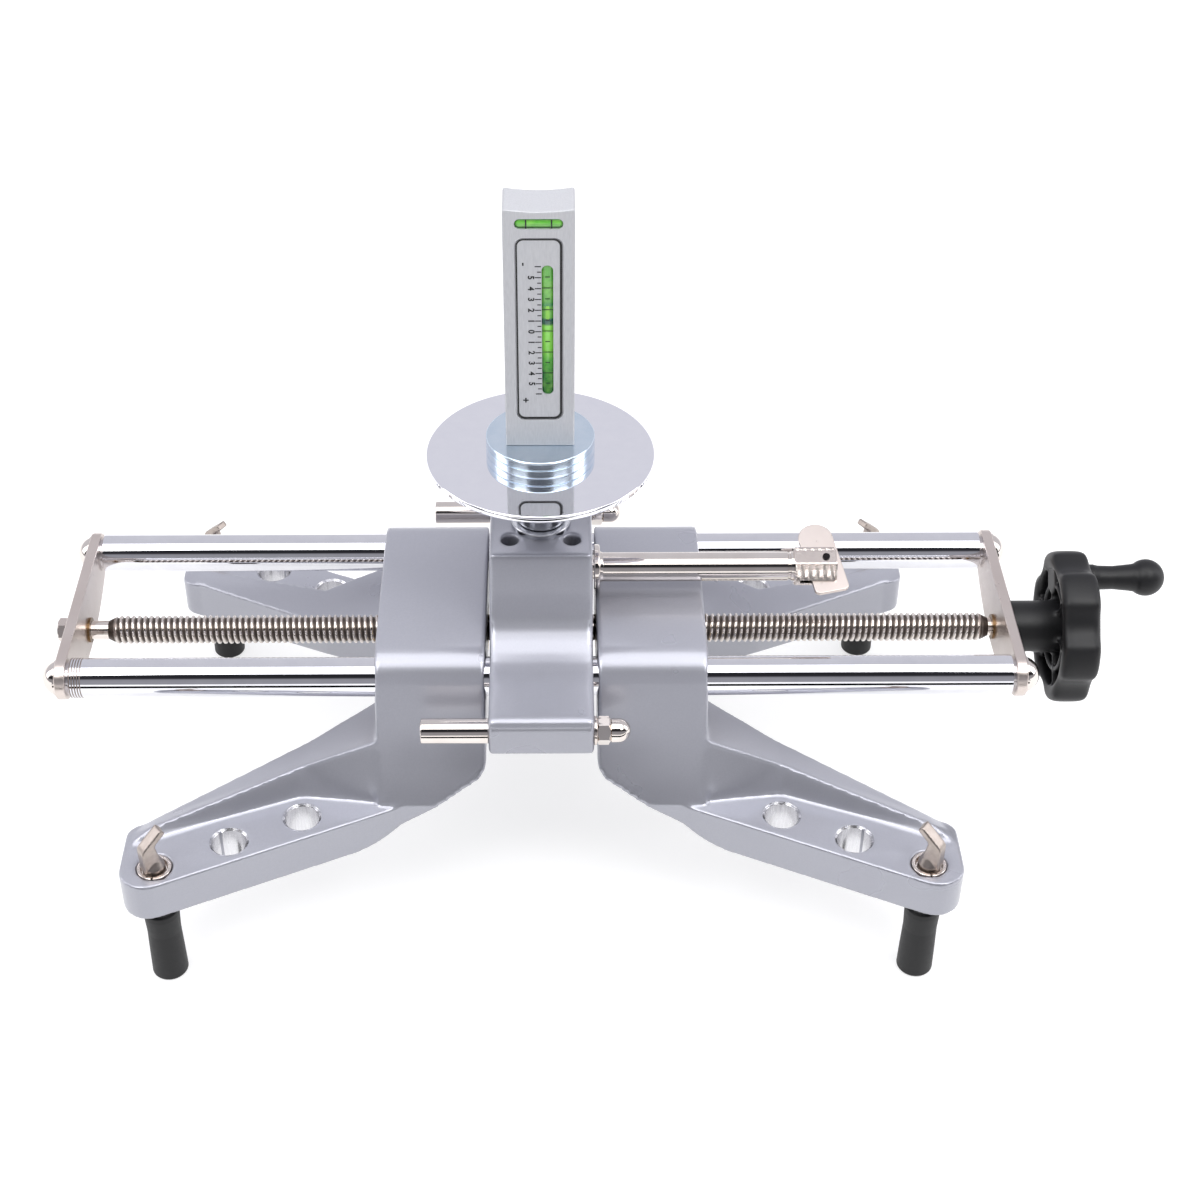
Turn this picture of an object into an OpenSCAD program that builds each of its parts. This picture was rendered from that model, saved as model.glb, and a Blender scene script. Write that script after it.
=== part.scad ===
// Wheel clamp with a magnetic camber gauge.
// Two cast carriages slide on a pair of guide rods and are drawn apart or
// together by one screw with a right-hand and a left-hand thread. Four claws
// at the ends of their arms hold a wheel rim. The disc on the centre spindle
// carries the gauge. The origin lies on the spindle axis, level with the ends
// of the four feet; X runs along the guide rods and Z points off the wheel.

/* [Guide rods] */
// Diameter of a guide rod
rod_d = 16; // [12:0.5:18]
// Distance of each rod axis from the screw's plane
rod_y = 42; // [38:0.5:46]
// Free length of the rods between the end plates
rod_span = 381.5; // [360:0.5:440]
// Height of the rod axes above the feet
rod_height = 104.5; // [98:0.5:125]

/* [End plates] */
// Thickness of an end plate
plate_t = 4.5; // [3:0.1:7]
// Radius of the plate round each rod end
plate_end_r = 8.8; // [8:0.1:12]
// Depth of the plate below the rod plane at the screw
plate_drop = 17.8; // [16:0.1:24]
// Diameter of the dome heads that hold the rods
dome_d = 14.6; // [11:0.1:16]
// Height of the dome heads
dome_h = 6; // [3:0.1:7]
// Shank diameter of the dome screws
dome_shank_d = 6; // [4:0.5:8]
// Depth of the dome screws in the rods
dome_shank_depth = 14; // [8:1:25]

/* [Centre bracket] */
// Width of the bracket along the rods
bracket_w = 41.5; // [38:0.1:44]
// Height of the tower above the rod plane
tower_h = 46; // [42:0.5:52]
// Half depth of the tower from front to back
tower_y = 22; // [21:0.5:24]
// Lean of the tower's front and rear from upright
tower_lean = 20; // [16:0.5:22]
// Radius of the sweep from the tower down to a foot
sweep_r = 32; // [26:0.5:36]
// Distance of the foot ends from the centre
foot_y = 80; // [79:0.5:84]
// Height of the foot's top edge above the rod plane
foot_top = 7.9; // [7:0.1:9]
// Depth of the foot below the rod plane
foot_drop = 9; // [8:0.5:12]
// Fall of the sweep's straight part towards the foot end
foot_slope = 3; // [1:0.5:5]
// Radius of the foot's top corner
foot_top_r = 4; // [2:0.5:6]
// Radius of the foot's bottom corner
foot_low_r = 2.5; // [1:0.5:4]
// Radius of the tower's top edges
tower_edge_r = 0.8; // [0.4:0.1:2]
// Radius of the block's edges under the screw
under_r = 2; // [0.5:0.5:4]
// Clearance of the bore that the screw passes through
screw_bore_gap = 1; // [0.5:0.1:1.5]
// Depth of the bracket below the rod plane under the screw
bracket_drop = 19.5; // [18:0.5:24]
// Diameter of the four blind holes in the tower's top
tower_hole_d = 7; // [4:0.5:8]
// Depth of those holes
tower_hole_depth = 12; // [6:1:16]
// Distance of those holes from the spindle along the rods
tower_hole_x = 12.5; // [12.3:0.1:14.5]
// Distance of those holes from the spindle across the rods
tower_hole_y = 11.2; // [11:0.1:14.5]

/* [Cross bolts] */
// Distance of each cross bolt from the centre
bolt_y = 73.5; // [72:0.1:74.5]
// Depth of the cross bolts below the rod plane
bolt_drop = 1.5; // [0.5:0.1:3]
// Diameter of a cross bolt
bolt_d = 6; // [4:0.5:6.5]
// Diameter of the long sleeve nut on the left
sleeve_nut_d = 10; // [8:0.1:11]
// Length of the sleeve nut
sleeve_nut_l = 26.7; // [18:0.1:30]
// Width across the flats of the acorn nut
acorn_af = 10; // [8:0.1:11]
// Height of the acorn nut's hexagon
acorn_hex_h = 5.2; // [4:0.1:7]
// Height of its dome
acorn_dome_h = 8; // [5:0.1:9]
// Diameter of that dome
acorn_dome_d = 9.6; // [7:0.1:9.9]
// Thickness of the washer under it
washer_t = 1.2; // [0.8:0.1:2]
// Diameter of that washer
washer_d = 11.6; // [11.6:0.1:13]

/* [Screw] */
// Outer diameter of the screw's thread
screw_d = 12; // [10:0.1:12.5]
// Depth of the screw axis below the rod plane
screw_drop = 9; // [8:0.1:9.5]
// Diameter of the plain journals in the end plates
journal_d = 7.8; // [7:0.1:9]
// Length of the plain journal inside the left plate
journal_left = 8.4; // [6:0.1:12]
// Length of the plain journal inside the right plate
journal_right = 2.7; // [2:0.1:6]
// Diameter of the screw's outer ends
screw_end_d = 6; // [5:0.1:6.5]
// Width across the flats of the two nuts on the left end
end_nut_af = 9; // [8:0.1:10]
// Height of each of those nuts
end_nut_h = 4; // [3:0.1:5]
// Outer diameter of the bronze bushes in the plates
bush_d = 9.6; // [9.4:0.1:11]
// Diameter of their flanges
bush_flange_d = 10.6; // [10.4:0.1:13]
// Thickness of their flanges
bush_flange_t = 1; // [0.6:0.1:1.8]

/* [Handwheel] */
// Diameter of the handwheel over its lobes
wheel_d = 64; // [58:0.5:72]
// Width of its rim
wheel_w = 16.5; // [14:0.5:20]
// Number of lobes
lobes = 6; // [5:1:7]
// Depth of the hollows between the lobes
lobe_depth = 4; // [2:0.1:5]
// Radius of those hollows
hollow_r = 13; // [10:0.5:16]
// Wall of the rim behind a hollow
rim_wall = 3; // [2:0.1:4]
// Thickness of the wheel's face
wheel_face = 4.5; // [3:0.1:6]
// Thickness of the ribs in the wheel's back
wheel_rib = 2; // [1.5:0.1:3]
// Diameter of the hub
hub_d = 22; // [20:0.1:24]
// Length of the hub between the plate and the rim
hub_l = 18; // [12:0.1:22]
// Distance of the crank knob's axis from the edge of the lobes
crank_in = 11.5; // [10:0.1:14]
// Lean of the crank knob from upright, towards the rear
crank_angle = 38; // [0:1:90]
// Diameter of the crank knob's stem
stem_d = 11.3; // [10:0.1:12]
// Diameter of its ball
ball_d = 15.6; // [13:0.1:18]
// Distance from the wheel's face to the ball's centre
ball_reach = 25.3; // [20:0.1:32]
// Diameter of the steel stud in the knob
stud_d = 6; // [4:0.1:7]
// Diameter of the grub screw in the hub
grub_d = 5; // [4:0.5:6]
// Place of the grub screw round the hub, from upright
grub_angle = 142; // [0:1:359]

/* [Carriages] */
// Distance of a closed carriage from the centre
carriage_in = 22.5; // [22:0.1:24]
// Length of a carriage's block along the rods
carriage_l = 44.5; // [40:0.5:50]
// Height of the carriage top above the rod plane
carriage_top = 13.4; // [12:0.1:14]
// Half width of the carriage top, to its sharp corner
carriage_top_y = 47.6; // [47.2:0.1:54]
// Radius of the bend from the top to the walls
bend_r = 15; // [8:0.5:15.5]
// Lean of the outer walls from upright
wall_lean = 20.5; // [16:0.5:22]
// Depth of the block's underside below the rod plane
block_drop = 22; // [18:0.5:24]
// Depth of the outer walls at the block's inner face, to the sharp corner
wall_in_drop = 33.4; // [30:0.1:36]
// Radius of that corner
wall_in_r = 10; // [4:0.5:14]
// Distance from the inner face to where the walls' lower edge meets the pads' underside
root_run = 46.6; // [42:0.1:50]
// Radius of the bend there
root_r = 30; // [10:1:35]
// Diameter of the brass nut in the block
nut_d = 18; // [15:0.5:20]
// Diameter of the nut's nose
nose_d = 13.6; // [13:0.1:16]
// Length of the nut's nose outside the block
nose_l = 1.6; // [1:0.1:6]
// Wall of the plain bushes on the guide rods
rod_bush_wall = 1; // [0.8:0.1:1.2]
// Length of each plain bush
rod_bush_l = 12; // [8:0.5:15]
// Depth of the plain bushes below the block's end faces
rod_bush_inset = 3; // [2:0.5:6]

/* [Arms] */
// Depth of the arm pads below the rod plane
pad_drop = 46; // [42:0.5:50]
// Thickness of the pads
pad_t = 18; // [14:0.5:22]
// Distance of the first pad hole from the centre, along the rods
hole_x = 97.2; // [94:0.1:104]
// Distance of the first pad hole from the screw's plane
hole_y = 75.4; // [74.5:0.1:78]
// Spacing of the three holes in a pad
hole_pitch = 31.2; // [28:0.1:34]
// Angle of the row of holes to the rods
arm_angle = 26.5; // [24:0.5:30]
// Diameter of the pad holes
hole_d = 14.2; // [12:0.1:15]
// Width of the two key slits in the outer holes
slit_w = 1.2; // [0.8:0.1:2]
// Depth of the key slits beyond the hole
slit_depth = 1.6; // [1:0.1:2.5]
// Angle of the pad's outer edge to the rods
edge_angle = 25.2; // [23:0.1:28]
// Distance of the pad's outer edge from the first hole
edge_gap = 11.8; // [10.5:0.1:14]
// Distance from the claw's axis to the arm's end
end_gap = 13.9; // [12:0.1:18]
// Radius of the arm end's outer corner
end_outer_r = 11; // [6:0.5:12]
// Radius of the arm end's inner corner
end_inner_r = 7; // [4:0.5:8]

/* [Claws] */
// Diameter of a claw's shank
claw_d = 9; // [7:0.1:10]
// Width of the claw's hook between its two flats
hook_w = 5.4; // [4:0.1:7]
// Height of the round shank above the pad
hook_root_h = 1.4; // [1:0.1:4]
// Height of the cone between the shank and the hook
hook_cone_h = 4; // [2:0.1:6]
// Distance of the hook's outer face beyond the shank
hook_out = 0.4; // [0.2:0.1:2]
// Thickness of the hook below its bend
hook_neck_t = 5.6; // [4:0.1:7]
// Thickness of the hook at its tip
hook_t = 2.8; // [2:0.1:4]
// Height of the bend's sharp corner above the pad
hook_bend_h = 11.6; // [9:0.1:14]
// Outer radius of the bend
hook_bend_r = 4; // [2:0.1:6]
// Inner radius of the bend
hook_inner_r = 2; // [1:0.1:3]
// Height of the tip above the pad
hook_h = 19.3; // [16:0.1:22]
// Reach of the tip's upper edge past the claw's axis, towards the spindle
hook_reach = 4; // [2:0.1:6]
// Diameter of the rubber foot
foot_d = 14.6; // [12:0.1:17]
// Thickness of rubber under the shank's end
foot_cap = 3.5; // [2:0.1:6]
// Gap between the arm and the rubber foot
foot_gap = 1.6; // [1.2:0.1:3]

/* [Spindle and disc] */
// Diameter of the spindle in the tower
spindle_d = 14; // [12:0.5:15]
// Diameter of the spindle's neck under the disc
neck_d = 20; // [18:0.5:22]
// Height of the spindle's foot above the rod plane
spindle_foot = 3; // [1:0.5:8]
// Diameter of the mirror disc
disc_d = 90.5; // [80:0.5:100]
// Thickness of the mirror disc
disc_t = 2.8; // [2:0.1:4]
// Height of the disc's top above the rod plane
disc_top = 81.1; // [72:0.1:90]
// Diameter of the flange that carries the disc
disc_flange_d = 34; // [26:0.5:42]
// Thickness of that flange
disc_flange_t = 4; // [3:0.5:6]
// Outer diameter of the bearing's ring on the tower
bearing_ring_d = 24.4; // [22:0.1:25]
// Height of that ring
bearing_ring_h = 2.6; // [2:0.1:4]
// Outer diameter of the bearing in the tower
bearing_d = 18; // [17:0.1:18.5]
// Depth of the bearing in the tower
bearing_l = 15; // [10:0.5:16]
// Diameter of the groove that the lock screw enters
groove_d = 11; // [9:0.1:11.5]
// Width of that groove
groove_w = 11; // [10.8:0.1:12]
// Diameter of the countersunk screw in the disc
disc_screw_d = 5; // [4:0.5:6]

/* [Gauge] */
// Width of the gauge body
gauge_w = 26.7; // [24:0.1:30]
// Depth of the gauge body
gauge_depth = 17.8; // [15:0.1:22]
// Height of the gauge body
gauge_h = 102.4; // [98:0.1:120]
// Place of the gauge behind the spindle axis
gauge_back = 1.9; // [0:0.1:3]
// Depth of the hollow in the body's top
dish_depth = 1.2; // [0.4:0.1:2]
// Diameter of the magnet cup
cup_d = 43; // [36:0.5:48]
// Height of the magnet cup
cup_h = 7.1; // [6:0.1:9]
// Wall of the magnet cup
cup_wall = 3; // [2:0.1:4]
// Thickness of the ring magnet
magnet_t = 4; // [3:0.1:5]
// Inner diameter of the ring magnet
magnet_bore = 14; // [12:0.5:18]
// Diameter of the screw that holds the cup
cup_screw_d = 5; // [4:0.5:6]
// Width of the scale plate
scale_w = 17.3; // [15:0.1:20]
// Height of the scale plate
scale_h = 78; // [74:0.5:82]
// Thickness of the scale plate
scale_t = 0.8; // [0.6:0.1:1.2]
// Corner radius of the scale plate
scale_r = 3; // [1:0.5:4]
// Height of the scale plate's lower edge on the body
scale_up = 12.4; // [10:0.1:13.5]
// Width of the slot over the camber vial
slot_w = 4.3; // [3.5:0.1:5]
// Height of that slot
slot_h = 56; // [50:0.5:62]
// Place of the slot beside the middle of the plate
slot_side = 3.1; // [2:0.1:4]
// Diameter of the camber vial
vial_d = 7.6; // [6.5:0.1:8.5]
// Width of the level vial
level_w = 17.6; // [14:0.1:20]
// Diameter of the level vial
level_d = 3.8; // [3:0.1:4.5]
// Distance of the level vial below the body's top
level_down = 6; // [5.5:0.1:6.8]

/* [Lock screw] */
// Height of the lock screw above the rod plane
lock_up = 23.4; // [23:0.1:26]
// Diameter of its thread in the tower
lock_thread_d = 10; // [8:0.5:10.5]
// Diameter of the flange against the tower
lock_flange_d = 18.8; // [16:0.1:19]
// Thickness of that flange
lock_flange_t = 2.5; // [1.5:0.1:4]
// Gap between the tower and the flange
lock_flange_gap = 0.9; // [0.4:0.1:1.2]
// Diameter of the long rod
lock_rod_d = 12; // [10:0.1:12.2]
// Distance from the centre to the collar
collar_x = 104; // [90:0.5:110]
// Length of the collar
collar_l = 17.4; // [15:0.1:20]
// Diameter of the collar
collar_d = 15.8; // [14:0.1:16.5]
// Length of the slot in the collar's end
wing_slot_l = 15; // [13.5:0.1:15]
// Distance of the wing's pin from the collar's end
wing_pin_in = 4.4; // [3.5:0.1:4.6]
// Diameter of that pin
wing_pin_d = 3; // [2:0.1:3.2]
// Thickness of the wing
wing_t = 1.8; // [1.4:0.1:2.4]
// Width of the wing
wing_w = 14.5; // [12:0.1:15]
// Length of the wing from its pin to the round end
wing_long = 20.4; // [17:0.1:20.6]
// Length of the wing from its pin to the square end
wing_short = 13; // [10:0.1:13.2]
// Corner radius of the square end
wing_corner_r = 2.2; // [1:0.1:4]
// Turn of the lock screw about its axis
lock_turn = 20; // [15:1:25]
// Swing of the wing about its pin
wing_swing = 12; // [0:1:14]

/* [Fits] */
// Radial clearance of pieces that turn or slide on each other
run_gap = 0.05; // [0.02:0.01:0.1]
// Radial clearance of pieces that are fixed together
seat_gap = 0.02; // [0.01:0.01:0.05]
// Gap between the faces of pieces that move past each other
face_gap = 0.3; // [0.2:0.05:0.4]

/* [Hidden] */

$fn = 64;
// Overrun of a cut past the face it opens
over = 0.5;
// Segments in a rounded corner
corner_steps = 8;
// Sides of a hexagon
hex_sides = 6;

// Places that follow from the sizes above
plate_in = rod_span / 2;
plate_out = plate_in + plate_t;
carriage_out = carriage_in + carriage_l;
pad_bottom = pad_drop + pad_t;
wall_foot_y = carriage_top_y + (carriage_top + pad_drop) * tan(wall_lean);
claw_x = hole_x + 2 * hole_pitch * cos(arm_angle);
claw_y = hole_y + 2 * hole_pitch * sin(arm_angle);
crank_r = wheel_d / 2 - crank_in;
arm_end_x = claw_x + end_gap;
arm_reach = arm_end_x - carriage_out;
edge_x = hole_x - edge_gap * sin(edge_angle);
edge_y = hole_y + edge_gap * cos(edge_angle);
pad_tip_x = edge_x - (edge_y - wall_foot_y) / tan(edge_angle);
edge_end_y = edge_y + (arm_end_x - edge_x) * tan(edge_angle);
wheel_in = plate_out + face_gap + hub_l;
wheel_out = wheel_in + wheel_w;
ball_x = wheel_out + ball_reach;
disc_bottom = disc_top - disc_t;
gauge_bottom = disc_top + run_gap;
body_bottom = gauge_bottom + cup_h;
lock_flange_x = bracket_w / 2 + lock_flange_gap;
collar_end = collar_x + collar_l;
wing_pin_x = collar_end - wing_pin_in;

// Shares that shape the arm between the carriage and its end: place along the
// arm; then pad edge, ridge, inner edge and inner foot as shares of the claw's
// distance from the screw's plane; ridge and inner edge depths as shares of
// the pad's depth
arm_shares = [
    [-0.07, 0.640, 0.555, 0.250, 0.353, 0.430, 0.560],
    [ 0.01, 0.655, 0.580, 0.247, 0.355, 0.435, 0.565],
    [ 0.31, 0.618, 0.571, 0.378, 0.481, 0.728, 0.826],
    [ 0.90, 0.871, 0.833, 0.745, 0.742, 0.913, 0.978],
    [ 0.97, 0.905, 0.880, 0.815, 0.790, 0.975, 0.995]
];

function unit(v) = v / norm(v);

// Points of the arc that rounds corner b between a and c with radius r
function arc_points(a, b, c, r) =
    let (
        u = unit(a - b),
        w = unit(c - b),
        half = acos(u * w) / 2,
        centre = b + unit(u + w) * r / sin(half),
        start = b + u * r / tan(half) - centre,
        turn = 180 - 2 * half,
        side = u.x * w.y - u.y * w.x > 0 ? -1 : 1
    )
    [for (i = [0:corner_steps])
        let (t = side * turn * i / corner_steps)
        centre + [start.x * cos(t) - start.y * sin(t), start.x * sin(t) + start.y * cos(t)]];

// Outline through corners given as [x, y, radius]
function rounded(corners) =
    let (n = len(corners))
    [for (i = [0:n - 1])
        let (
            a = corners[(i + n - 1) % n],
            b = corners[i],
            c = corners[(i + 1) % n]
        )
        each b[2] == 0
            ? [[b.x, b.y]]
            : arc_points([a.x, a.y], [b.x, b.y], [c.x, c.y], b[2])];

module at_rods() translate([0, 0, rod_height]) children();

// Turns a shape drawn along +Z so that it runs along +X
module lay_x() rotate([90, 0, 90]) children();

module rod_x(d, from, to) translate([from, 0, 0]) lay_x() cylinder(d = d, h = to - from);

module rod_z(d, from, to) translate([0, 0, from]) cylinder(d = d, h = to - from);

module both_y(y) for (side = [-1, 1]) translate([0, side * y, 0]) children();

module mirrored_y() {
    children();
    mirror([0, 1, 0]) children();
}

module mirrored_x() {
    children();
    mirror([1, 0, 0]) children();
}

// Solid through a row of sections, each a ring of points in the same order
module loft(rings) {
    n = len(rings[0]);
    last = len(rings) - 1;
    sides = [for (k = [0:last - 1], i = [0:n - 1])
        let (j = (i + 1) % n)
        each [[k * n + i, (k + 1) * n + j, k * n + j], [k * n + i, (k + 1) * n + i, (k + 1) * n + j]]];
    caps = [[for (i = [0:n - 1]) i], [for (i = [n - 1:-1:0]) last * n + i]];
    polyhedron(points = [for (ring = rings) each ring], faces = concat(sides, caps));
}

// Cast centre bracket: tower over the screw, sweeping down over both rods
module centre_bracket() {
    fall = tan(foot_slope);
    lean = tan(tower_lean);
    knee_y = (tower_y + (tower_h - foot_top - foot_y * fall) * lean) / (1 - fall * lean);
    knee_z = foot_top + (foot_y - knee_y) * fall;
    half = [
        [foot_y, -foot_drop, foot_low_r],
        [foot_y, foot_top, foot_top_r],
        [knee_y, knee_z, sweep_r],
        [tower_y, tower_h, tower_edge_r]
    ];
    under = [
        [-tower_y, -bracket_drop, under_r],
        [tower_y, -bracket_drop, under_r]
    ];
    other_half = [for (i = [3:-1:0]) [-half[i][0], half[i][1], half[i][2]]];
    color("#a8aab1") at_rods() difference() {
        translate([-bracket_w / 2, 0, 0]) lay_x() linear_extrude(bracket_w)
            polygon(rounded(concat(half, other_half, under)));
        both_y(rod_y) rod_x(rod_d + 2 * seat_gap, -bracket_w / 2 - over, bracket_w / 2 + over);
        translate([0, 0, -screw_drop])
            rod_x(screw_d + 2 * screw_bore_gap, -bracket_w / 2 - over, bracket_w / 2 + over);
        both_y(bolt_y) translate([0, 0, -bolt_drop])
            rod_x(bolt_d + 2 * seat_gap, -bracket_w / 2 - over, bracket_w / 2 + over);
        rod_z(spindle_d + 2 * run_gap, spindle_foot - face_gap, tower_h + over);
        rod_z(bearing_d + 2 * seat_gap, tower_h - bearing_l, tower_h + over);
        translate([0, 0, lock_up]) rod_x(lock_thread_d + 2 * run_gap, 0, bracket_w / 2 + over);
        for (sx = [-1, 1], sy = [-1, 1])
            translate([sx * tower_hole_x, sy * tower_hole_y, 0])
                rod_z(tower_hole_d, tower_h - tower_hole_depth, tower_h + over);
    }
}

module guide_rod() {
    color("#d9dce0") at_rods() difference() {
        rod_x(rod_d, -plate_in, plate_in);
        mirrored_x()
            rod_x(dome_shank_d + 2 * seat_gap, plate_in - dome_shank_depth - over, plate_in + over);
    }
}

// Nickel-plated end plate, its foot bowed down under the screw
module end_plate() {
    bow = 2 * rod_y;
    outline = [
        for (i = [0:corner_steps])
            let (t = 90 - 180 * i / corner_steps)
            [rod_y + plate_end_r * cos(t), plate_end_r * sin(t)],
        for (i = [1:2 * corner_steps - 1])
            let (y = rod_y - bow * i / (2 * corner_steps))
            [y, -plate_end_r - (plate_drop - plate_end_r) * (1 - pow(y / rod_y, 2))],
        for (i = [0:corner_steps])
            let (t = 270 - 180 * i / corner_steps)
            [-rod_y + plate_end_r * cos(t), plate_end_r * sin(t)]
    ];
    color("#cfc8bf") at_rods() difference() {
        translate([plate_in, 0, 0]) lay_x() linear_extrude(plate_t) polygon(outline);
        both_y(rod_y) rod_x(dome_shank_d + 2 * seat_gap, plate_in - over, plate_out + over);
        translate([0, 0, -screw_drop]) rod_x(bush_d + 2 * seat_gap, plate_in - over, plate_out + over);
    }
}

module left_end_plate() mirror([1, 0, 0]) end_plate();
module right_end_plate() end_plate();

module rod_end_screws() {
    ball_r = (pow(dome_d / 2, 2) + pow(dome_h, 2)) / (2 * dome_h);
    spread = asin(dome_d / 2 / ball_r);
    profile = [
        [0, 0],
        for (i = [0:corner_steps])
            let (t = spread * (1 - i / corner_steps))
            [ball_r * sin(t), dome_h - ball_r + ball_r * cos(t)]
    ];
    color("#cfc8bf") at_rods() mirrored_x() both_y(rod_y) {
        translate([plate_out, 0, 0]) lay_x() rotate_extrude() polygon(profile);
        rod_x(dome_shank_d, plate_in - dome_shank_depth, plate_out + over);
    }
}

module at_cross_bolt(side) at_rods() translate([0, side * bolt_y, -bolt_drop]) children();

module cross_bolt(side) color("#c9c2b9") at_cross_bolt(side)
    rod_x(bolt_d, -bracket_w / 2 - sleeve_nut_l / 2, bracket_w / 2 + washer_t + acorn_hex_h);

module sleeve_nut(side) color("#d6cfc6") at_cross_bolt(side) difference() {
    rod_x(sleeve_nut_d, -bracket_w / 2 - sleeve_nut_l, -bracket_w / 2);
    rod_x(bolt_d + 2 * seat_gap, -bracket_w / 2 - sleeve_nut_l / 2 - over, -bracket_w / 2 + over);
}

module acorn_nuts() {
    dome_r = acorn_dome_d / 2;
    start = bracket_w / 2 + washer_t;
    color("#d6cfc6") for (side = [-1, 1]) at_cross_bolt(side) difference() {
        union() {
            translate([start, 0, 0]) lay_x()
                cylinder(d = acorn_af / cos(180 / hex_sides), h = acorn_hex_h, $fn = hex_sides);
            rod_x(2 * dome_r, start, start + acorn_hex_h + acorn_dome_h - dome_r);
            translate([start + acorn_hex_h + acorn_dome_h - dome_r, 0, 0]) sphere(r = dome_r);
        }
        rod_x(bolt_d + 2 * seat_gap, start - over, start + acorn_hex_h + over);
    }
}

module acorn_washers() color("#bfb9b1") for (side = [-1, 1]) at_cross_bolt(side) difference() {
    rod_x(washer_d, bracket_w / 2, bracket_w / 2 + washer_t);
    rod_x(bolt_d + 2 * seat_gap, bracket_w / 2 - over, bracket_w / 2 + washer_t + over);
}

module screw_bushes() {
    start = plate_in - bush_flange_t;
    color("#b08a4a") at_rods() translate([0, 0, -screw_drop]) mirrored_x() difference() {
        union() {
            rod_x(bush_d, start, plate_out);
            rod_x(bush_flange_d, start, plate_in);
        }
        rod_x(journal_d + 2 * run_gap, start - over, plate_out + over);
    }
}

module spindle_bearing() color("#b9bcc2") at_rods() difference() {
    union() {
        rod_z(bearing_d, tower_h - bearing_l, tower_h + bearing_ring_h);
        rod_z(bearing_ring_d, tower_h, tower_h + bearing_ring_h);
    }
    rod_z(spindle_d + 2 * run_gap, tower_h - bearing_l - over, tower_h + bearing_ring_h + over);
}

// Section of an arm, its outer face run on a little below the pad's top
function arm_ring(share) =
    let (
        x = carriage_out + share[0] * arm_reach,
        pad_y = share[1] * claw_y,
        ridge_y = share[2] * claw_y,
        ridge_z = -share[5] * pad_drop,
        sink = pad_t / 6,
        root_y = pad_y + sink * (pad_y - ridge_y) / (pad_drop + ridge_z)
    )
    [
        [x, root_y, -pad_bottom - over],
        [x, root_y, -pad_drop - sink],
        [x, ridge_y, ridge_z],
        [x, share[3] * claw_y, -share[6] * pad_drop],
        [x, share[4] * claw_y, -pad_bottom - over]
    ];

// Raised part of the arm, from the carriage corner to the pad's end
module arm_ridge() loft([for (share = arm_shares) arm_ring(share)]);

// Flat pad that holds the claw
module arm_pad() {
    foot = [for (share = arm_shares) [carriage_out + share[0] * arm_reach, share[4] * claw_y, 0]];
    end_foot_y = arm_shares[3][4] * claw_y + (arm_end_x - foot[3][0]) * tan(edge_angle);
    outline = concat(
        [
            [pad_tip_x, wall_foot_y, 0],
            [arm_end_x, edge_end_y, end_outer_r],
            [arm_end_x, end_foot_y, end_inner_r]
        ],
        [for (i = [3:-1:1]) foot[i] + [0, over, 0]],
        [[pad_tip_x, foot[0].y + over, 0]]
    );
    translate([0, 0, -pad_bottom - over]) linear_extrude(pad_t + over) polygon(rounded(outline));
}

// Outer wall of the carriage, running down from the block to the pad
module arm_root() {
    wall = [
        [arm_shares[0][3] * claw_y, -block_drop / 2],
        [carriage_top_y + (carriage_top + block_drop / 2) * tan(wall_lean), -block_drop / 2],
        [wall_foot_y, -pad_drop],
        [wall_foot_y, -pad_bottom - 2 * over],
        [arm_shares[0][4] * claw_y, -pad_bottom - 2 * over]
    ];
    translate([carriage_in, 0, 0]) lay_x() linear_extrude(carriage_l) polygon(wall);
}

// Block that rides on the rods
module carriage_block() {
    top = [carriage_top_y, carriage_top, bend_r];
    low = [carriage_top_y + (carriage_top + block_drop) * tan(wall_lean), -block_drop, 0];
    translate([carriage_in, 0, 0]) lay_x() linear_extrude(carriage_l)
        polygon(rounded([low, top, [-top.x, top.y, top[2]], [-low.x, low.y, 0]]));
}

module pad_hole(index) translate([
        hole_x + index * hole_pitch * cos(arm_angle),
        hole_y + index * hole_pitch * sin(arm_angle),
        0
    ]) {
    rod_z(hole_d, -pad_bottom - over, -pad_drop + 4 * over);
    if (index > 0) rotate([0, 0, -2 * arm_angle]) translate([0, 0, -pad_drop - pad_t / 2])
        cube([hole_d + 2 * slit_depth, slit_w, pad_t + 4 * over], center = true);
}

// Everything below the walls' lower edges and the arms' undersides
module under_arms() {
    reach = claw_y + hole_pitch;
    side = [
        [carriage_in - over, -2 * pad_bottom, 0],
        [arm_end_x + over, -2 * pad_bottom, 0],
        [arm_end_x + over, -pad_bottom, 0],
        [carriage_in + root_run, -pad_bottom, root_r],
        [carriage_in, -wall_in_drop, wall_in_r],
        [carriage_in, -block_drop, 0],
        [carriage_in - over, -block_drop, 0]
    ];
    translate([0, reach, 0]) rotate([90, 0, 0]) linear_extrude(2 * reach) polygon(rounded(side));
}

module carriage() color("#a9abb3") at_rods() difference() {
    union() {
        carriage_block();
        mirrored_y() {
            arm_root();
            arm_pad();
            arm_ridge();
        }
    }
    under_arms();
    mirrored_y() for (index = [0:2]) pad_hole(index);
    both_y(rod_y) {
        rod_x(rod_d + 4 * face_gap, carriage_in - over, carriage_out + over);
        rod_x(rod_d + 2 * (rod_bush_wall + run_gap + seat_gap),
            carriage_in + rod_bush_inset, carriage_out - rod_bush_inset);
    }
    translate([0, 0, -screw_drop]) rod_x(nut_d + 2 * seat_gap, carriage_in - over, carriage_out + over);
}

module left_carriage() mirror([1, 0, 0]) carriage();
module right_carriage() carriage();

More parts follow.
